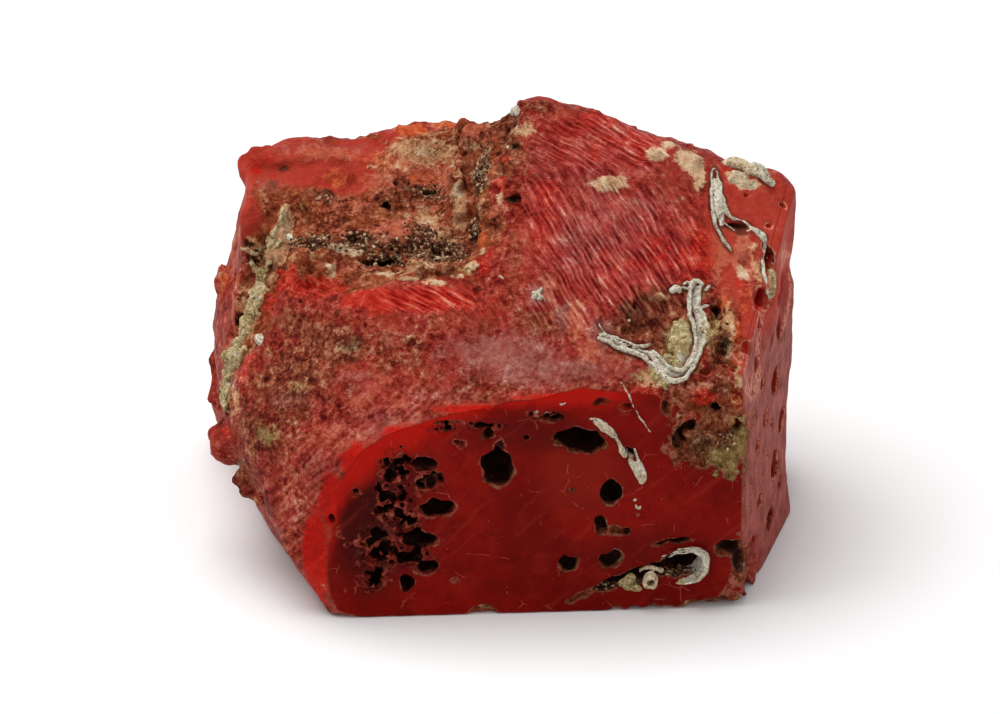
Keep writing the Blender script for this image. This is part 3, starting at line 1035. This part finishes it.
    # The sawn right side: frosted, pinkish, with scarlet pits
    right = (off_right + upwards.eased(11.0, 13.0) * -0.34).eased(0.12, 0.04)
    right = right * f.fade(from_front.eased(-0.3, -0.15), 1.0, off_right.eased(0.12, 0.04))
    right = right * (1 - stain("olive").or_more(stain("cream")))
    stretched = f.node("CombineXYZ", {"X": f.along(BACK), "Y": upwards * 0.3})
    grain = f.noise(2.4, 3, 0.6, 0.2, stretched)
    frosted = tinted(f.noise(1.0, 4).eased(0.35, 0.65), paint(*TINTS["frosted"]), "frosted darker")
    frosted = tinted(grain.eased(0.52, 0.68) * 0.25, frosted, "frost")
    frosted = tinted(grain.eased(0.46, 0.3) * 0.7, frosted, "saw mark")
    speck = f.cells(1.9).eased(0.2, 0.12) * f.noise(0.9, 2).eased(0.42, 0.55)
    frosted = tinted(speck * 0.8, frosted, "speck")
    frosted = f.mix((upwards + broad.swung(6)).eased(13.0, 18.0), frosted, shades["waxy"])
    colour = f.mix(right, colour, frosted)
    in_side = from_right.eased(-1.6, -1.2) * (from_right - from_front).eased(0.2, 0.6)
    in_side = in_side * upwards.eased(3.0, 4.5)
    pit = tinted(bored.eased(0.2, 0.9), paint(*TINTS["side pit"]), "side pit deep")
    colour = f.mix(in_side * bored.eased(0.15, 0.35) * (1 - right), colour, pit)
    side_lip = in_side * bored.eased(0.02, 0.06) * bored.eased(0.22, 0.1)
    colour = tinted(side_lip * fine.eased(0.42, 0.56), colour, "side lip")

    # The sawn faces shine more and have almost no relief
    dull = f.fade(smooth, f.fade(fine, 0.36, 0.6), 0.34)
    dull = f.fade(front, f.fade(broken, dull, 0.8), f.fade(patchy, 0.16, 0.34))
    dull = f.fade(right, dull, 0.5)
    relief = tone + fine * 0.8 * crumbled
    relief = relief * f.fade(front.or_more(right * 0.7), 1.0, 0.04)
    return f.finished(colour, dull, relief, CORAL_RELIEF)


coral.data.materials.clear()
coral.data.materials.append(coral_finish())
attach(coral, "root")
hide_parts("coral")

# The crumbs
# Loose grit of lime, sand and coral: thousands of small hard grains. They have stuck in the eaten-out
# hollows, most of all along the back of the terrace and round the corner of the base.
CRUMBS_PER_SQUARE_METRE = 100e6
CRUMB_SIZES = (0.00004, 0.00013)
CRUMB_SEED = 5
GRIT_SHADES = [(34, 19, 12), (66, 38, 24), (104, 62, 40), (138, 90, 60), (172, 128, 90), (222, 200, 164)]
GRIT_STAIN = (70, 36, 20)
GRIT_GLOSS = 0.15
GRIT_RELIEF = 0.03
# Where grit lies thickest: pixel across and down, half width and height, strength
GRIT = [
    (483, 175, 11, 30, 1), (355, 243, 20, 11, 1), (388, 262, 28, 10, 1), (440, 252, 44, 14, 0.9),
    (479, 236, 10, 16, 1), (312, 243, 28, 10, 0.8), (428, 195, 26, 12, 0.8), (420, 236, 22, 18, 0.7),
    (515, 147, 12, 10, 0.8), (508, 202, 12, 7, 0.5), (253, 255, 16, 16, 0.5), (690, 590, 60, 10, 0.7),
    (765, 565, 10, 20, 0.5), (768, 262, 8, 18, 0.5), (620, 586, 40, 10, 0.6), (725, 440, 14, 12, 0.6),
    (722, 330, 14, 30, 0.4), (440, 215, 12, 24, 0.3), (330, 198, 26, 7, 0.5), (380, 245, 40, 18, 0.5),
    (675, 575, 22, 14, 0.9), (640, 318, 26, 16, 0.3), (350, 342, 22, 10, 0.3), (268, 428, 16, 12, 0.25),
    (290, 380, 34, 30, 0.12),
]


class Tree:
    """A Geometry Nodes tree. Each call adds a node and returns it."""

    def __init__(self, name, inputs):
        self.group = bpy.data.node_groups.new(name, "GeometryNodeTree")
        self.group.interface.new_socket("Geometry", in_out="INPUT", socket_type="NodeSocketGeometry")
        self.group.interface.new_socket("Geometry", in_out="OUTPUT", socket_type="NodeSocketGeometry")
        for label, kind in inputs.items():
            self.group.interface.new_socket(label, in_out="INPUT", socket_type="NodeSocket" + kind)
        self.given = self.group.nodes.new("NodeGroupInput").outputs
        self.result = self.group.nodes.new("NodeGroupOutput").inputs

    def node(self, kind, inputs, **settings):
        node = self.group.nodes.new(kind)
        for name, value in settings.items():
            setattr(node, name, value)
        for name, value in inputs.items():
            if isinstance(value, bpy.types.NodeSocket):
                self.group.links.new(value, node.inputs[name])
            else:
                node.inputs[name].default_value = value
        return node

    def maths(self, kind, inputs, operation):
        return self.node("ShaderNode" + kind, inputs, operation=operation).outputs[0]

    def random(self, kind, inputs):
        """A number or a vector drawn at random for each point."""
        drawn = self.node("FunctionNodeRandomValue", inputs, data_type=kind).outputs
        return drawn[0] if kind == "FLOAT_VECTOR" else drawn[1]

    def put_on(self, piece, values):
        """Adds the tree to a piece as a modifier, with a value for each named input."""
        modifier = piece.modifiers.new(self.group.name, "NODES")
        modifier.node_group = self.group
        for socket in self.group.interface.items_tree:
            if socket.in_out == "INPUT" and socket.name in values:
                modifier[socket.identifier] = values[socket.name]


def crumbs_tree():
    t = Tree("crumbs", {
        "Density": "Float", "Smallest": "Float", "Largest": "Float", "Seed": "Int", "Material": "Material",
    })
    lying = t.node("GeometryNodeInputNamedAttribute", {"Name": "grit"}, data_type="FLOAT").outputs[0]
    density = t.maths("Math", {0: lying, 1: t.given["Density"]}, "MULTIPLY")
    scatter = {"Mesh": t.given["Geometry"], "Density": density, "Seed": t.given["Seed"]}
    points = t.node("GeometryNodeDistributePointsOnFaces", scatter)
    grain = t.node("GeometryNodeMeshIcoSphere", {"Radius": 1.0, "Subdivisions": 1}).outputs["Mesh"]
    lumpy = t.node("ShaderNodeTexNoise", {"Scale": 1.1}).outputs["Color"]
    dented = t.maths("VectorMath", {0: lumpy, 1: (0.5, 0.5, 0.5)}, "SUBTRACT")
    grain = t.node("GeometryNodeSetPosition", {"Geometry": grain, "Offset": dented}).outputs[0]
    any_way = t.random("FLOAT_VECTOR", {0: (0, 0, 0), 1: (6.28, 6.28, 6.28), "Seed": 1})
    size = t.random("FLOAT", {2: t.given["Smallest"], 3: t.given["Largest"], "Seed": 2})
    shape = t.random("FLOAT_VECTOR", {0: (0.6, 0.6, 0.6), 1: (1.4, 1.4, 1.4), "Seed": 3})
    scale = t.maths("VectorMath", {0: shape, "Scale": size}, "SCALE")
    placed = {"Points": points.outputs["Points"], "Instance": grain, "Rotation": any_way, "Scale": scale}
    grit = t.node("GeometryNodeInstanceOnPoints", placed).outputs[0]
    shade = t.random("FLOAT", {2: 0.0, 3: 1.0, "Seed": 4})
    kept = {"Geometry": grit, "Name": "shade", "Value": shade}
    grit = t.node("GeometryNodeStoreNamedAttribute", kept, data_type="FLOAT", domain="INSTANCE").outputs[0]
    grit = t.node("GeometryNodeRealizeInstances", {"Geometry": grit}).outputs[0]
    grit = t.node("GeometryNodeSetMaterial", {"Geometry": grit, "Material": t.given["Material"]}).outputs[0]
    t.group.links.new(grit, t.result[0])
    return t


def crumb_finish():
    f = Finish("grit", GRIT_GLOSS)
    shade = f.kept("shade")
    colour = f.mix(f.noise(5.0).eased(0.4, 0.6) * 0.5, f.ramp(shade, GRIT_SHADES), paint(*GRIT_STAIN))
    return f.finished(colour, f.fade(shade, 0.7, 0.35), f.noise(12.0), GRIT_RELIEF)


off_front = eased(np.abs(beyond(corners, FRONT_CUT)), 0.15, 0.4)
lying = eased(stained(corners, GRIT), 0.25, 1.1) * np.clip(2 - 2 * np.clip(-block, 0, 1), 0, 1)
keep(coral, "grit", lying * off_front)
crumbs = new_piece("crumbs", coral.data.copy())
crumbs_tree().put_on(crumbs, {
    "Density": CRUMBS_PER_SQUARE_METRE, "Smallest": CRUMB_SIZES[0], "Largest": CRUMB_SIZES[1],
    "Seed": CRUMB_SEED, "Material": crumb_finish(),
})
crumbs = with_modifiers_applied(crumbs)
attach(crumbs, "root")

# The worm tubes
# Chalky white tubes that sea worms cemented on to the coral, and flecks of the same lime. Most tubes lie
# broken open, as two walls with a groove between.
TUBE_VOXEL = 0.07
TUBE_ROUGHNESS = 0.7
SPECK_ROUGHNESS = 0.8
# Small waves along a tube's walls, lumps in its filling, and grains on both, for a roughness of 1
LIME_SWERVE = dict(height=0.05, length=0.8)
LIME_PATTERNS = (31, 32, 33)
LIME_GLOSS = 0.25
LIME_RELIEF = 0.06
LIME_SPECK = (62, 40, 28)
FILLING_SWELLS = dict(height=0.04, length=0.5, pattern=37)
LIME_GRAINS = [dict(height=0.06, size=0.3, seed=41), dict(height=0.08, size=0.6, seed=43)]

# Each tube's strands, bores and fillings. A strand over the coral's face is a list of pixel across, pixel
# down, lift from the face and radius in millimetres. One inside the corner's hollow, or up on the crest, is
# given in millimetres: x, y, z, radius.
HOOK = {
    "strands": [
        [(598, 338, 0.05, 0.1), (606, 342, 0.1, 0.13), (620, 349, 0.14, 0.14), (637, 354, 0.16, 0.14),
         (646, 360, 0.2, 0.15), (655, 368, 0.22, 0.17), (662, 375, 0.24, 0.17), (669, 380, 0.24, 0.17),
         (677, 381, 0.24, 0.17), (686, 375, 0.22, 0.12), (692, 367, 0.2, 0.12), (697, 356, 0.2, 0.12),
         (701, 344, 0.2, 0.14), (704, 330, 0.2, 0.15), (703, 318, 0.2, 0.15), (697, 308, 0.18, 0.13),
         (698, 294, 0.2, 0.13), (699, 285, 0.16, 0.1)],
        [(597, 322, 0.0, 0.05), (600, 328, 0.03, 0.06), (604, 333, 0.05, 0.06), (613, 336, 0.06, 0.06),
         (624, 341, 0.08, 0.07), (634, 345, 0.1, 0.08), (642, 346, 0.16, 0.1), (649, 344, 0.2, 0.1)],
        [(651, 351, 0.2, 0.1), (660, 359, 0.24, 0.12), (667, 366, 0.26, 0.12), (676, 370, 0.28, 0.12),
         (683, 369, 0.28, 0.12), (689, 363, 0.3, 0.12), (692, 354, 0.3, 0.12), (694, 340, 0.32, 0.13),
         (693, 328, 0.32, 0.13), (689, 317, 0.32, 0.14), (688, 305, 0.3, 0.14), (689, 293, 0.3, 0.14),
         (691, 284, 0.28, 0.14), (696, 281, 0.26, 0.12), (701, 284, 0.24, 0.12)],
        [(671, 291, 0.1, 0.18), (676, 289, 0.14, 0.2), (679, 293, 0.1, 0.12)],
        [(682, 284, 0.16, 0.07), (686, 282, 0.18, 0.08), (689, 286, 0.18, 0.08), (686, 290, 0.16, 0.08),
         (682, 288, 0.14, 0.07)],
        [(700, 308, 0.1, 0.12), (707, 306, 0.04, 0.08)], [(704, 290, 0.08, 0.09), (709, 286, 0.02, 0.06)],
    ],
    "floors": [
        [(600, 335, -0.06, 0.12), (610, 339, -0.06, 0.15), (622, 345, -0.06, 0.17),
         (636, 350, -0.08, 0.18), (648, 355, -0.1, 0.2), (656, 363, -0.12, 0.24), (665, 372, -0.14, 0.27),
         (676, 375, -0.14, 0.27), (686, 369, -0.14, 0.27), (693, 358, -0.16, 0.3), (697, 344, -0.2, 0.34),
         (698, 330, -0.2, 0.36), (697, 316, -0.18, 0.32), (694, 304, -0.14, 0.26), (695, 290, -0.12, 0.26)],
    ],
    "bores": [[(685, 286, 0.3, 0.08), (685, 287, 0.4, 0.08)]],
    "fillings": [
        [(676, 366, -0.1, 0.34), (680, 352, -0.08, 0.46), (682, 338, -0.1, 0.5), (681, 325, -0.1, 0.38)],
        [(672, 350, -0.14, 0.36), (674, 336, -0.14, 0.34), (673, 324, -0.14, 0.22)],
        [(666, 358, -0.14, 0.3), (672, 362, -0.14, 0.3)],
        [(648, 368, -0.08, 0.26), (655, 377, -0.1, 0.3), (664, 385, -0.14, 0.3)],
        [(702, 325, -0.12, 0.4), (704, 338, -0.12, 0.36)],
    ],
}
CHANNEL = {
    "strands": [
        [(713, 169, -0.01, 0.06), (711, 174, 0.03, 0.07), (710.5, 184, 0.07, 0.08), (710, 198, 0.09, 0.09),
         (711, 212, 0.09, 0.1), (714, 224, 0.07, 0.11), (719, 235, 0.05, 0.11), (724, 244, 0.01, 0.1),
         (730, 254, -0.03, 0.07)],
        [(713, 169, -0.01, 0.06), (716, 174, 0.03, 0.07), (719, 184, 0.07, 0.1), (721, 196, 0.09, 0.12),
         (724, 208, 0.07, 0.12), (728, 216, 0.05, 0.1), (737, 221, 0.03, 0.07), (745, 224, 0.03, 0.08),
         (751, 229, 0.03, 0.12), (757, 233, 0.05, 0.16), (763, 240, 0.07, 0.16), (762, 249, 0.07, 0.12),
         (761, 260, 0.05, 0.11), (762, 272, 0.03, 0.1), (765, 286, 0.01, 0.1), (767, 298, -0.02, 0.08)],
        [(715, 192, 0.11, 0.06), (716, 204, 0.13, 0.07), (718, 214, 0.13, 0.07), (722, 223, 0.07, 0.07),
         (729, 229, 0.03, 0.07), (740, 234, 0.03, 0.07), (748, 232, 0.03, 0.08)],
        [(714, 182, -0.07, 0.16), (715, 192, -0.11, 0.28), (716, 204, -0.13, 0.34),
         (718, 214, -0.13, 0.32), (720, 224, -0.09, 0.2)],
    ],
    "bores": [[(713.5, 173, -0.05, 0.09), (714, 177, 0.05, 0.1)]],
    "fillings": [
        [(741, 271, -0.17, 0.18), (742, 279, -0.17, 0.18)],
        [(769, 274, -0.17, 0.26), (770, 284, -0.15, 0.28), (770, 294, -0.17, 0.2)],
        [(726, 246, -0.15, 0.16), (730, 256, -0.17, 0.16)],
    ],
}
CREST = {
    "strands": [
        [(13.0, 1.1, 22.9, 0.2), (13.5, 1.0, 23.1, 0.24), (14.1, 0.8, 23.0, 0.22)],
        [(14.8, 0.3, 22.75, 0.2), (15.2, 0.2, 22.5, 0.2), (15.7, 0.05, 22.12, 0.18)],
        [(14.7, 0.65, 23.05, 0.16), (15.15, 0.5, 22.85, 0.16), (15.5, 0.35, 22.5, 0.14)],
    ],
    "bores": [
        [(14.6, 0.05, 22.98, 0.2), (15.0, 0.1, 22.8, 0.17)],
        [(13.1, 0.3, 22.85, 0.07), (13.9, 0.2, 22.75, 0.07)],
    ],
    "fillings": [
        [(12.9, 0.9, 22.75, 0.3), (13.45, 0.85, 23.0, 0.33), (14.2, 0.7, 22.84, 0.33),
         (14.75, 0.5, 22.6, 0.3)],
        [(730, 181, -0.08, 0.26), (742, 185, -0.1, 0.3), (755, 188, -0.1, 0.26)],
        [(733, 175, -0.05, 0.26), (745, 178, -0.05, 0.26)],
    ],
}
SHARD_UPPER = {
    "strands": [
        [(594, 421, 0.04, 0.14), (601, 425, 0.06, 0.2), (608, 430, 0.05, 0.22), (614, 435, 0.03, 0.15)],
        [(590, 418, 0.02, 0.07), (598, 419, 0.03, 0.09), (606, 423, 0.02, 0.08)],
    ],
    "bores": [[(600, 424, 0.3, 0.12), (609, 431, 0.3, 0.12)]],
    "fillings": [[(596, 422, 0.0, 0.16), (604, 428, 0.0, 0.2), (612, 434, 0.0, 0.16)]],
}
SHARD_LOWER = {
    "strands": [
        [(615, 437, 0.03, 0.11), (619, 445, 0.04, 0.13), (624, 453, 0.04, 0.13)],
        [(626, 447, 0.02, 0.07), (629, 459, 0.04, 0.1), (635, 471, 0.05, 0.14), (640, 480, 0.04, 0.14)],
        [(633, 448, 0.02, 0.07), (638, 460, 0.04, 0.1), (643, 471, 0.05, 0.13), (644, 477, 0.03, 0.1)],
        [(636, 468, 0.0, 0.22), (640, 476, 0.02, 0.24)],
    ],
    "bores": [],
    "fillings": [
        [(618, 443, 0.0, 0.14), (624, 455, 0.0, 0.14)],
        [(630, 455, 0.0, 0.14), (638, 470, 0.0, 0.2), (641, 478, 0.0, 0.22)],
    ],
}
CAVITY_RIM = [
    (9.3, 3.7, 0.05), (10.2, 4.0, 0.06), (11.1, 4.1, 0.09), (11.75, 3.85, 0.16), (11.9, 3.2, 0.18),
    (11.7, 2.6, 0.14), (11.3, 2.2, 0.09), (10.6, 2.0, 0.06),
]
CAVITY_MIDDLE = (10.6, 2.9)


def cavity_ring(rim, y, shrink, thick):
    """The cavity's rim, moved back to y and drawn in towards its middle."""
    middle_x, middle_z = CAVITY_MIDDLE
    return [
        (middle_x + (x - middle_x) * shrink, y, middle_z + (z - middle_z) * shrink, radius * thick)
        for x, z, radius in rim
    ]


CAVITY = {
    "strands": [
        cavity_ring(CAVITY_RIM, y, shrink, thick)
        for y, shrink, thick in ((-11.36, 1.0, 1.0), (-11.1, 1.0, 1.0), (-10.8, 0.97, 1.2))
    ],
    "floors": [
        cavity_ring(CAVITY_RIM[1:], y, shrink, 1.3)
        for y, shrink in ((-10.5, 0.92), (-10.2, 0.86), (-9.9, 0.78))
    ],
    "bores": [],
    "fillings": [
        [(9.9, -10.5, 1.9, 0.25), (10.6, -10.6, 1.75, 0.3), (11.1, -10.6, 1.9, 0.25)],
        [(7.0, -10.9, 1.75, 0.2), (7.6, -10.9, 2.2, 0.25), (7.3, -10.9, 1.6, 0.25), (8.0, -11.0, 1.5, 0.2)],
    ],
}
RING_MIDDLE = (8.7, 2.12)
RING_REACH = 0.34
RING_THICKNESS = 0.12
RING_POINTS = 9
RING = {
    "strands": [],
    "bores": [[(8.7, -11.9, 2.12, 0.23), (8.7, -10.7, 2.12, 0.23)]],
    "fillings": [
        [
            (
                RING_MIDDLE[0] + RING_REACH * math.cos(turn), y,
                RING_MIDDLE[1] + RING_REACH * math.sin(turn), RING_THICKNESS,
            )
            for turn in np.linspace(0, 2 * math.pi, RING_POINTS)
        ]
        for y in (-11.4, -11.2, -11.0)
    ] + [
        [(8.1, -10.7, 2.6, 0.12), (8.7, -10.7, 2.75, 0.14), (9.3, -10.7, 2.5, 0.14)],
    ],
}
# Bits of lime on their own: a tuft, pebbles, a pink thread and two small rings
SPECKS = {
    "strands": [
        [(535, 294, 0.1, 0.18), (539, 297, 0.12, 0.2)], [(533, 298, 0.05, 0.1), (540, 290, 0.08, 0.12)],
        [(514, 113, 0.12, 0.26), (518, 112, 0.12, 0.26)], [(290, 236, 0.15, 0.2), (292, 239, 0.15, 0.2)],
        [(619, 382, 0.01, 0.05), (625, 390, 0.01, 0.05), (630, 401, 0.01, 0.06), (636, 412, 0.01, 0.06),
         (643, 423, 0.01, 0.06), (651, 434, 0.0, 0.05)],
        [(634, 497, -0.06, 0.15), (634, 498, -0.06, 0.15)],
        [(637, 504, -0.08, 0.19), (637, 505, -0.08, 0.19)],
        [(500, 276, 0.05, 0.08), (503, 279, 0.05, 0.07)], [(560, 404, 0.04, 0.1), (566, 402, 0.04, 0.06)],
        [(261, 338, 0.05, 0.28), (262, 343, 0.05, 0.22)],
    ],
    "bores": [
        [(634, 497, 0.1, 0.08), (634, 498, 0.1, 0.08)], [(637, 504, 0.1, 0.11), (637, 505, 0.1, 0.11)],
    ],
    "fillings": [],
}


def route_of(points, steps=5):
    """A smooth curve through a strand's points: x, y, z and radius in millimetres."""
    if points[0][0] > 100:
        base = on_surface([point[:2] for point in points], coral_field)
        points = [(*(foot + lift * view_near), radius) for foot, (_, _, lift, radius) in zip(base, points)]
    points = np.array(points, float)
    ends = np.vstack([2 * points[0] - points[1], points, 2 * points[-1] - points[-2]])
    t = np.linspace(0, 1, steps, endpoint=False)[:, None]
    curve = [
        0.5 * (2 * b + (c - a) * t + (2 * a - 5 * b + 4 * c - d) * t**2 + (3 * b - a - 3 * c + d) * t**3)
        for a, b, c, d in zip(ends, ends[1:], ends[2:], ends[3:])
    ]
    return np.vstack([*curve, points[-1:]]).astype(np.float32)


def to_routes(points, routes):
    """How far points are outside the nearest of several round strands."""
    nearest = np.full(len(points), 9, np.float32)
    for route in routes:
        for start, end in zip(route, route[1:]):
            way = end[:3] - start[:3]
            share = np.clip((points - start[:3]) @ way / max(float(way @ way), 1e-9), 0, 1)
            away = points - start[:3] - share[:, None] * way
            outside = lengths(away) - start[3] - share * (end[3] - start[3])
            nearest = np.minimum(nearest, outside)
    return nearest


def lime_piece(name, parts, roughness):
    """A chalky piece built up from strands and fillings, with its bores cut out, and finished in lime."""
    rims, floors, bores, fillings = (
        [route_of(points) for points in parts.get(kind, [])]
        for kind in ("strands", "floors", "bores", "fillings")
    )
    strands = rims + floors
    height = roughness * LIME_SWERVE["height"]
    swerve = [dict(height=height, length=LIME_SWERVE["length"], pattern=pattern) for pattern in LIME_PATTERNS]

    def field(points):
        ragged = swerved(points, swerve)
        depth = to_routes(ragged, strands)
        if fillings:
            lumpy = roughness * swell(points, **FILLING_SWELLS)
            depth = -smooth_max(-depth, lumpy - to_routes(ragged, fillings), 0.12)
        depth += roughness * grained(points, LIME_GRAINS, GRAIN_LEVEL)
        if bores:
            depth = smooth_max(depth, -to_routes(ragged, bores), 0.04)
        return depth

    everything = np.vstack(strands + fillings)
    reach = everything[:, 3].max() + 0.15
    low, high = everything[:, :3].min(0) - reach, everything[:, :3].max(0) + reach
    mesh = mesh_from_field(name, field, low, high, TUBE_VOXEL)
    piece = new_piece(name, mesh)
    mesh.polygons.foreach_set("use_smooth", [True] * len(mesh.polygons))
    places = corners_of(mesh)
    filled = grooved = np.zeros(len(places))
    if fillings:
        filled = eased(to_routes(places, strands) - to_routes(places, fillings), -0.12, 0.08)
    if bores:
        grooved = eased(-to_routes(places, bores), -0.12, 0.02)
    if floors:
        grooved = np.maximum(grooved, eased(to_routes(places, rims) - to_routes(places, floors), -0.02, 0.08))
    keep(piece, "filled", filled)
    keep(piece, "grooved", grooved)
    return piece


def lime_finish(name, shell, filling, groove):
    f = Finish(name, LIME_GLOSS)
    fine, grit, patchy = f.noise(4.5, 4, 0.65), f.noise(11.0, 3, 0.6), f.noise(1.4, 3)
    tone = fine.swung(1.7) + grit.swung(1.3) + 0.58 + patchy.swung(0.6)
    colour = f.mix(f.kept("filled"), f.ramp(tone, shell), f.ramp(tone, filling))
    colour = f.mix(f.kept("grooved") * 0.85, colour, f.ramp(tone, groove))
    colour = f.mix(f.cells(3.1).eased(0.18, 0.08), colour, paint(*LIME_SPECK))
    return f.finished(colour, f.fade(fine, 0.9, 0.6), fine + grit, LIME_RELIEF)


WHITE_LIME = [(74, 58, 43), (134, 120, 97), (180, 169, 147), (208, 201, 182), (236, 231, 218)]
GREEN_LIME = [(56, 38, 20), (108, 84, 48), (148, 126, 80), (180, 162, 116), (218, 206, 172)]
GREY_LIME = [(66, 54, 44), (130, 118, 104), (172, 162, 148), (200, 192, 180), (226, 220, 210)]
TAN_LIME = [(84, 62, 42), (140, 114, 84), (182, 158, 124), (208, 190, 158), (234, 220, 196)]
white_finish = lime_finish("worm_tube_lime", WHITE_LIME, GREEN_LIME, GREY_LIME)
tan_finish = lime_finish("worm_tube_tan_lime", WHITE_LIME, TAN_LIME, TAN_LIME)
TUBES = {
    "worm_tube_hook": (HOOK, white_finish), "worm_tube_channel": (CHANNEL, white_finish),
    "worm_tube_crest": (CREST, tan_finish), "worm_tube_shard_upper": (SHARD_UPPER, tan_finish),
    "worm_tube_shard_lower": (SHARD_LOWER, tan_finish), "worm_tube_cavity": (CAVITY, white_finish),
    "worm_tube_ring": (RING, tan_finish),
}
for node, (parts, finish) in TUBES.items():
    tube = lime_piece(node + "_dressed", parts, TUBE_ROUGHNESS)
    tube.data.materials.append(finish)
    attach(tube, "root")
    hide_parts(node)

# Dirt has gathered on the coral along the tubes' edges
dirty = [route_of(points) for parts in (HOOK, CHANNEL, SHARD_LOWER) for points in parts["strands"]]
soiled = np.zeros(len(corners), np.float32)
for route in dirty:
    spread = np.vstack([route[:, :3].min(0), route[:, :3].max(0)])
    near = within(corners, spread.mean(0), float((spread[1] - spread[0]).max()) / 2 + 1)
    soiled[near] = np.maximum(soiled[near], 0.8 * eased(to_routes(corners[near], [route]), 0.34, 0.02))
keep(coral, "soiled", soiled)
specks = lime_piece("specks", SPECKS, SPECK_ROUGHNESS)
specks.data.materials.append(white_finish)
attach(specks, "root")

# The lime crust
# A lumpy olive and cream crust that small animals and algae laid down as lime. It runs down the scar on the
# left side and is grown on to the coral, with a few holes left in it.
CRUST = {
    "strands": [
        [(284, 210, 0.0, 0.1), (282, 220, 0.02, 0.14), (277, 230, 0.04, 0.18), (272, 240, 0.04, 0.22),
         (268, 252, 0.04, 0.2)],
        [(262, 288, 0.1, 0.34), (259, 296, 0.14, 0.44), (255, 305, 0.14, 0.42), (250, 314, 0.1, 0.34)],
        [(266, 290, 0.05, 0.22), (262, 300, 0.08, 0.26), (258, 312, 0.05, 0.2)],
        [(247, 322, 0.1, 0.3), (245, 332, 0.14, 0.34), (242, 340, 0.1, 0.28)],
        [(241, 344, 0.05, 0.3), (236, 351, 0.14, 0.44), (232, 359, 0.14, 0.44), (235, 365, 0.1, 0.3)],
        [(244, 348, 0.05, 0.22), (242, 358, 0.1, 0.24), (236, 368, 0.1, 0.26), (229, 367, 0.1, 0.24)],
        [(228, 380, 0.05, 0.2), (226, 387, 0.1, 0.24), (229, 392, 0.05, 0.16)],
        [(226, 396, 0.05, 0.18), (227, 406, 0.0, 0.2), (229, 414, 0.0, 0.12)],
        [(262, 250, 0.0, 0.12), (255, 254, 0.04, 0.18), (248, 250, 0.0, 0.14), (243, 246, 0.0, 0.1)],
        [(270, 262, 0.0, 0.14), (266, 270, 0.02, 0.14), (262, 280, 0.0, 0.16)],
        [(250, 262, 0.0, 0.12), (256, 270, 0.02, 0.14)],
        [(275, 252, 0.0, 0.1), (280, 244, 0.0, 0.12), (288, 238, 0.0, 0.08)],
    ],
    "bores": [
        [(264, 282, 0.2, 0.14), (262, 283, 0.4, 0.14)], [(236, 354, 0.6, 0.13), (239, 359, 0.5, 0.12)],
        [(230, 380, 0.3, 0.12), (231, 385, 0.3, 0.1)], [(256, 297, 0.65, 0.1), (259, 300, 0.6, 0.1)],
    ],
    "fillings": [
        [(266, 270, -0.25, 0.4), (262, 282, -0.25, 0.44)],
        [(253, 315, -0.25, 0.44), (247, 330, -0.25, 0.44)],
        [(240, 348, -0.25, 0.44), (232, 372, -0.3, 0.44), (229, 392, -0.3, 0.36)],
    ],
}
CRUST_ROUGHNESS = 2.2
CREAM_LIME = [(66, 46, 26), (122, 98, 62), (164, 140, 98), (196, 176, 134), (226, 212, 182)]
crust = lime_piece("lime_crust_dressed", CRUST, CRUST_ROUGHNESS)
crust.data.materials.append(lime_finish("crust_lime", CREAM_LIME, GREEN_LIME, GREY_LIME))
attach(crust, "root")
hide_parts("lime_crust")

# The floor and the light
# A pale matt sheet that the coral stands on, under a wide soft light from above and an even pale sky, as in a
# plain studio. None of them is part of the coral.
FLOOR_SIZE = 6.0
FLOOR_GREY = (0.86, 0.86, 0.86, 1)
FLOOR_ROUGHNESS = 0.9
SKY_STRENGTH = 0.6
SOFTBOX_SIZE = 0.35
SOFTBOX_WATTS = 1.9
SOFTBOX_PLACE = (-0.12, 0.05, 0.45)
SOFTBOX_TILT = -0.2
floor_mesh = bpy.data.meshes.new("floor")
half = FLOOR_SIZE / 2
floor_corners = [(-half, -half, 0), (half, -half, 0), (half, half, 0), (-half, half, 0)]
floor_mesh.from_pydata(floor_corners, [], [(0, 1, 2, 3)])
floor = new_piece("floor", floor_mesh)
paper = bpy.data.materials.new("white_paper")
paper.use_nodes = True
paper_shader = paper.node_tree.nodes["Principled BSDF"].inputs
paper_shader["Base Color"].default_value = FLOOR_GREY
paper_shader["Roughness"].default_value = FLOOR_ROUGHNESS
floor.data.materials.append(paper)

world = bpy.data.worlds.new("studio")
bpy.context.scene.world = world
world.use_nodes = True
world.node_tree.nodes["Background"].inputs["Color"].default_value = (1, 1, 1, 1)
world.node_tree.nodes["Background"].inputs["Strength"].default_value = SKY_STRENGTH
lamp = bpy.data.lights.new("softbox", "AREA")
lamp.size = SOFTBOX_SIZE
lamp.energy = SOFTBOX_WATTS
softbox = bpy.data.objects.new("softbox", lamp)
softbox.location = SOFTBOX_PLACE
softbox.rotation_euler = (0, SOFTBOX_TILT, 0)
bpy.context.scene.collection.objects.link(softbox)
bpy.context.scene.view_settings.view_transform = "Standard"
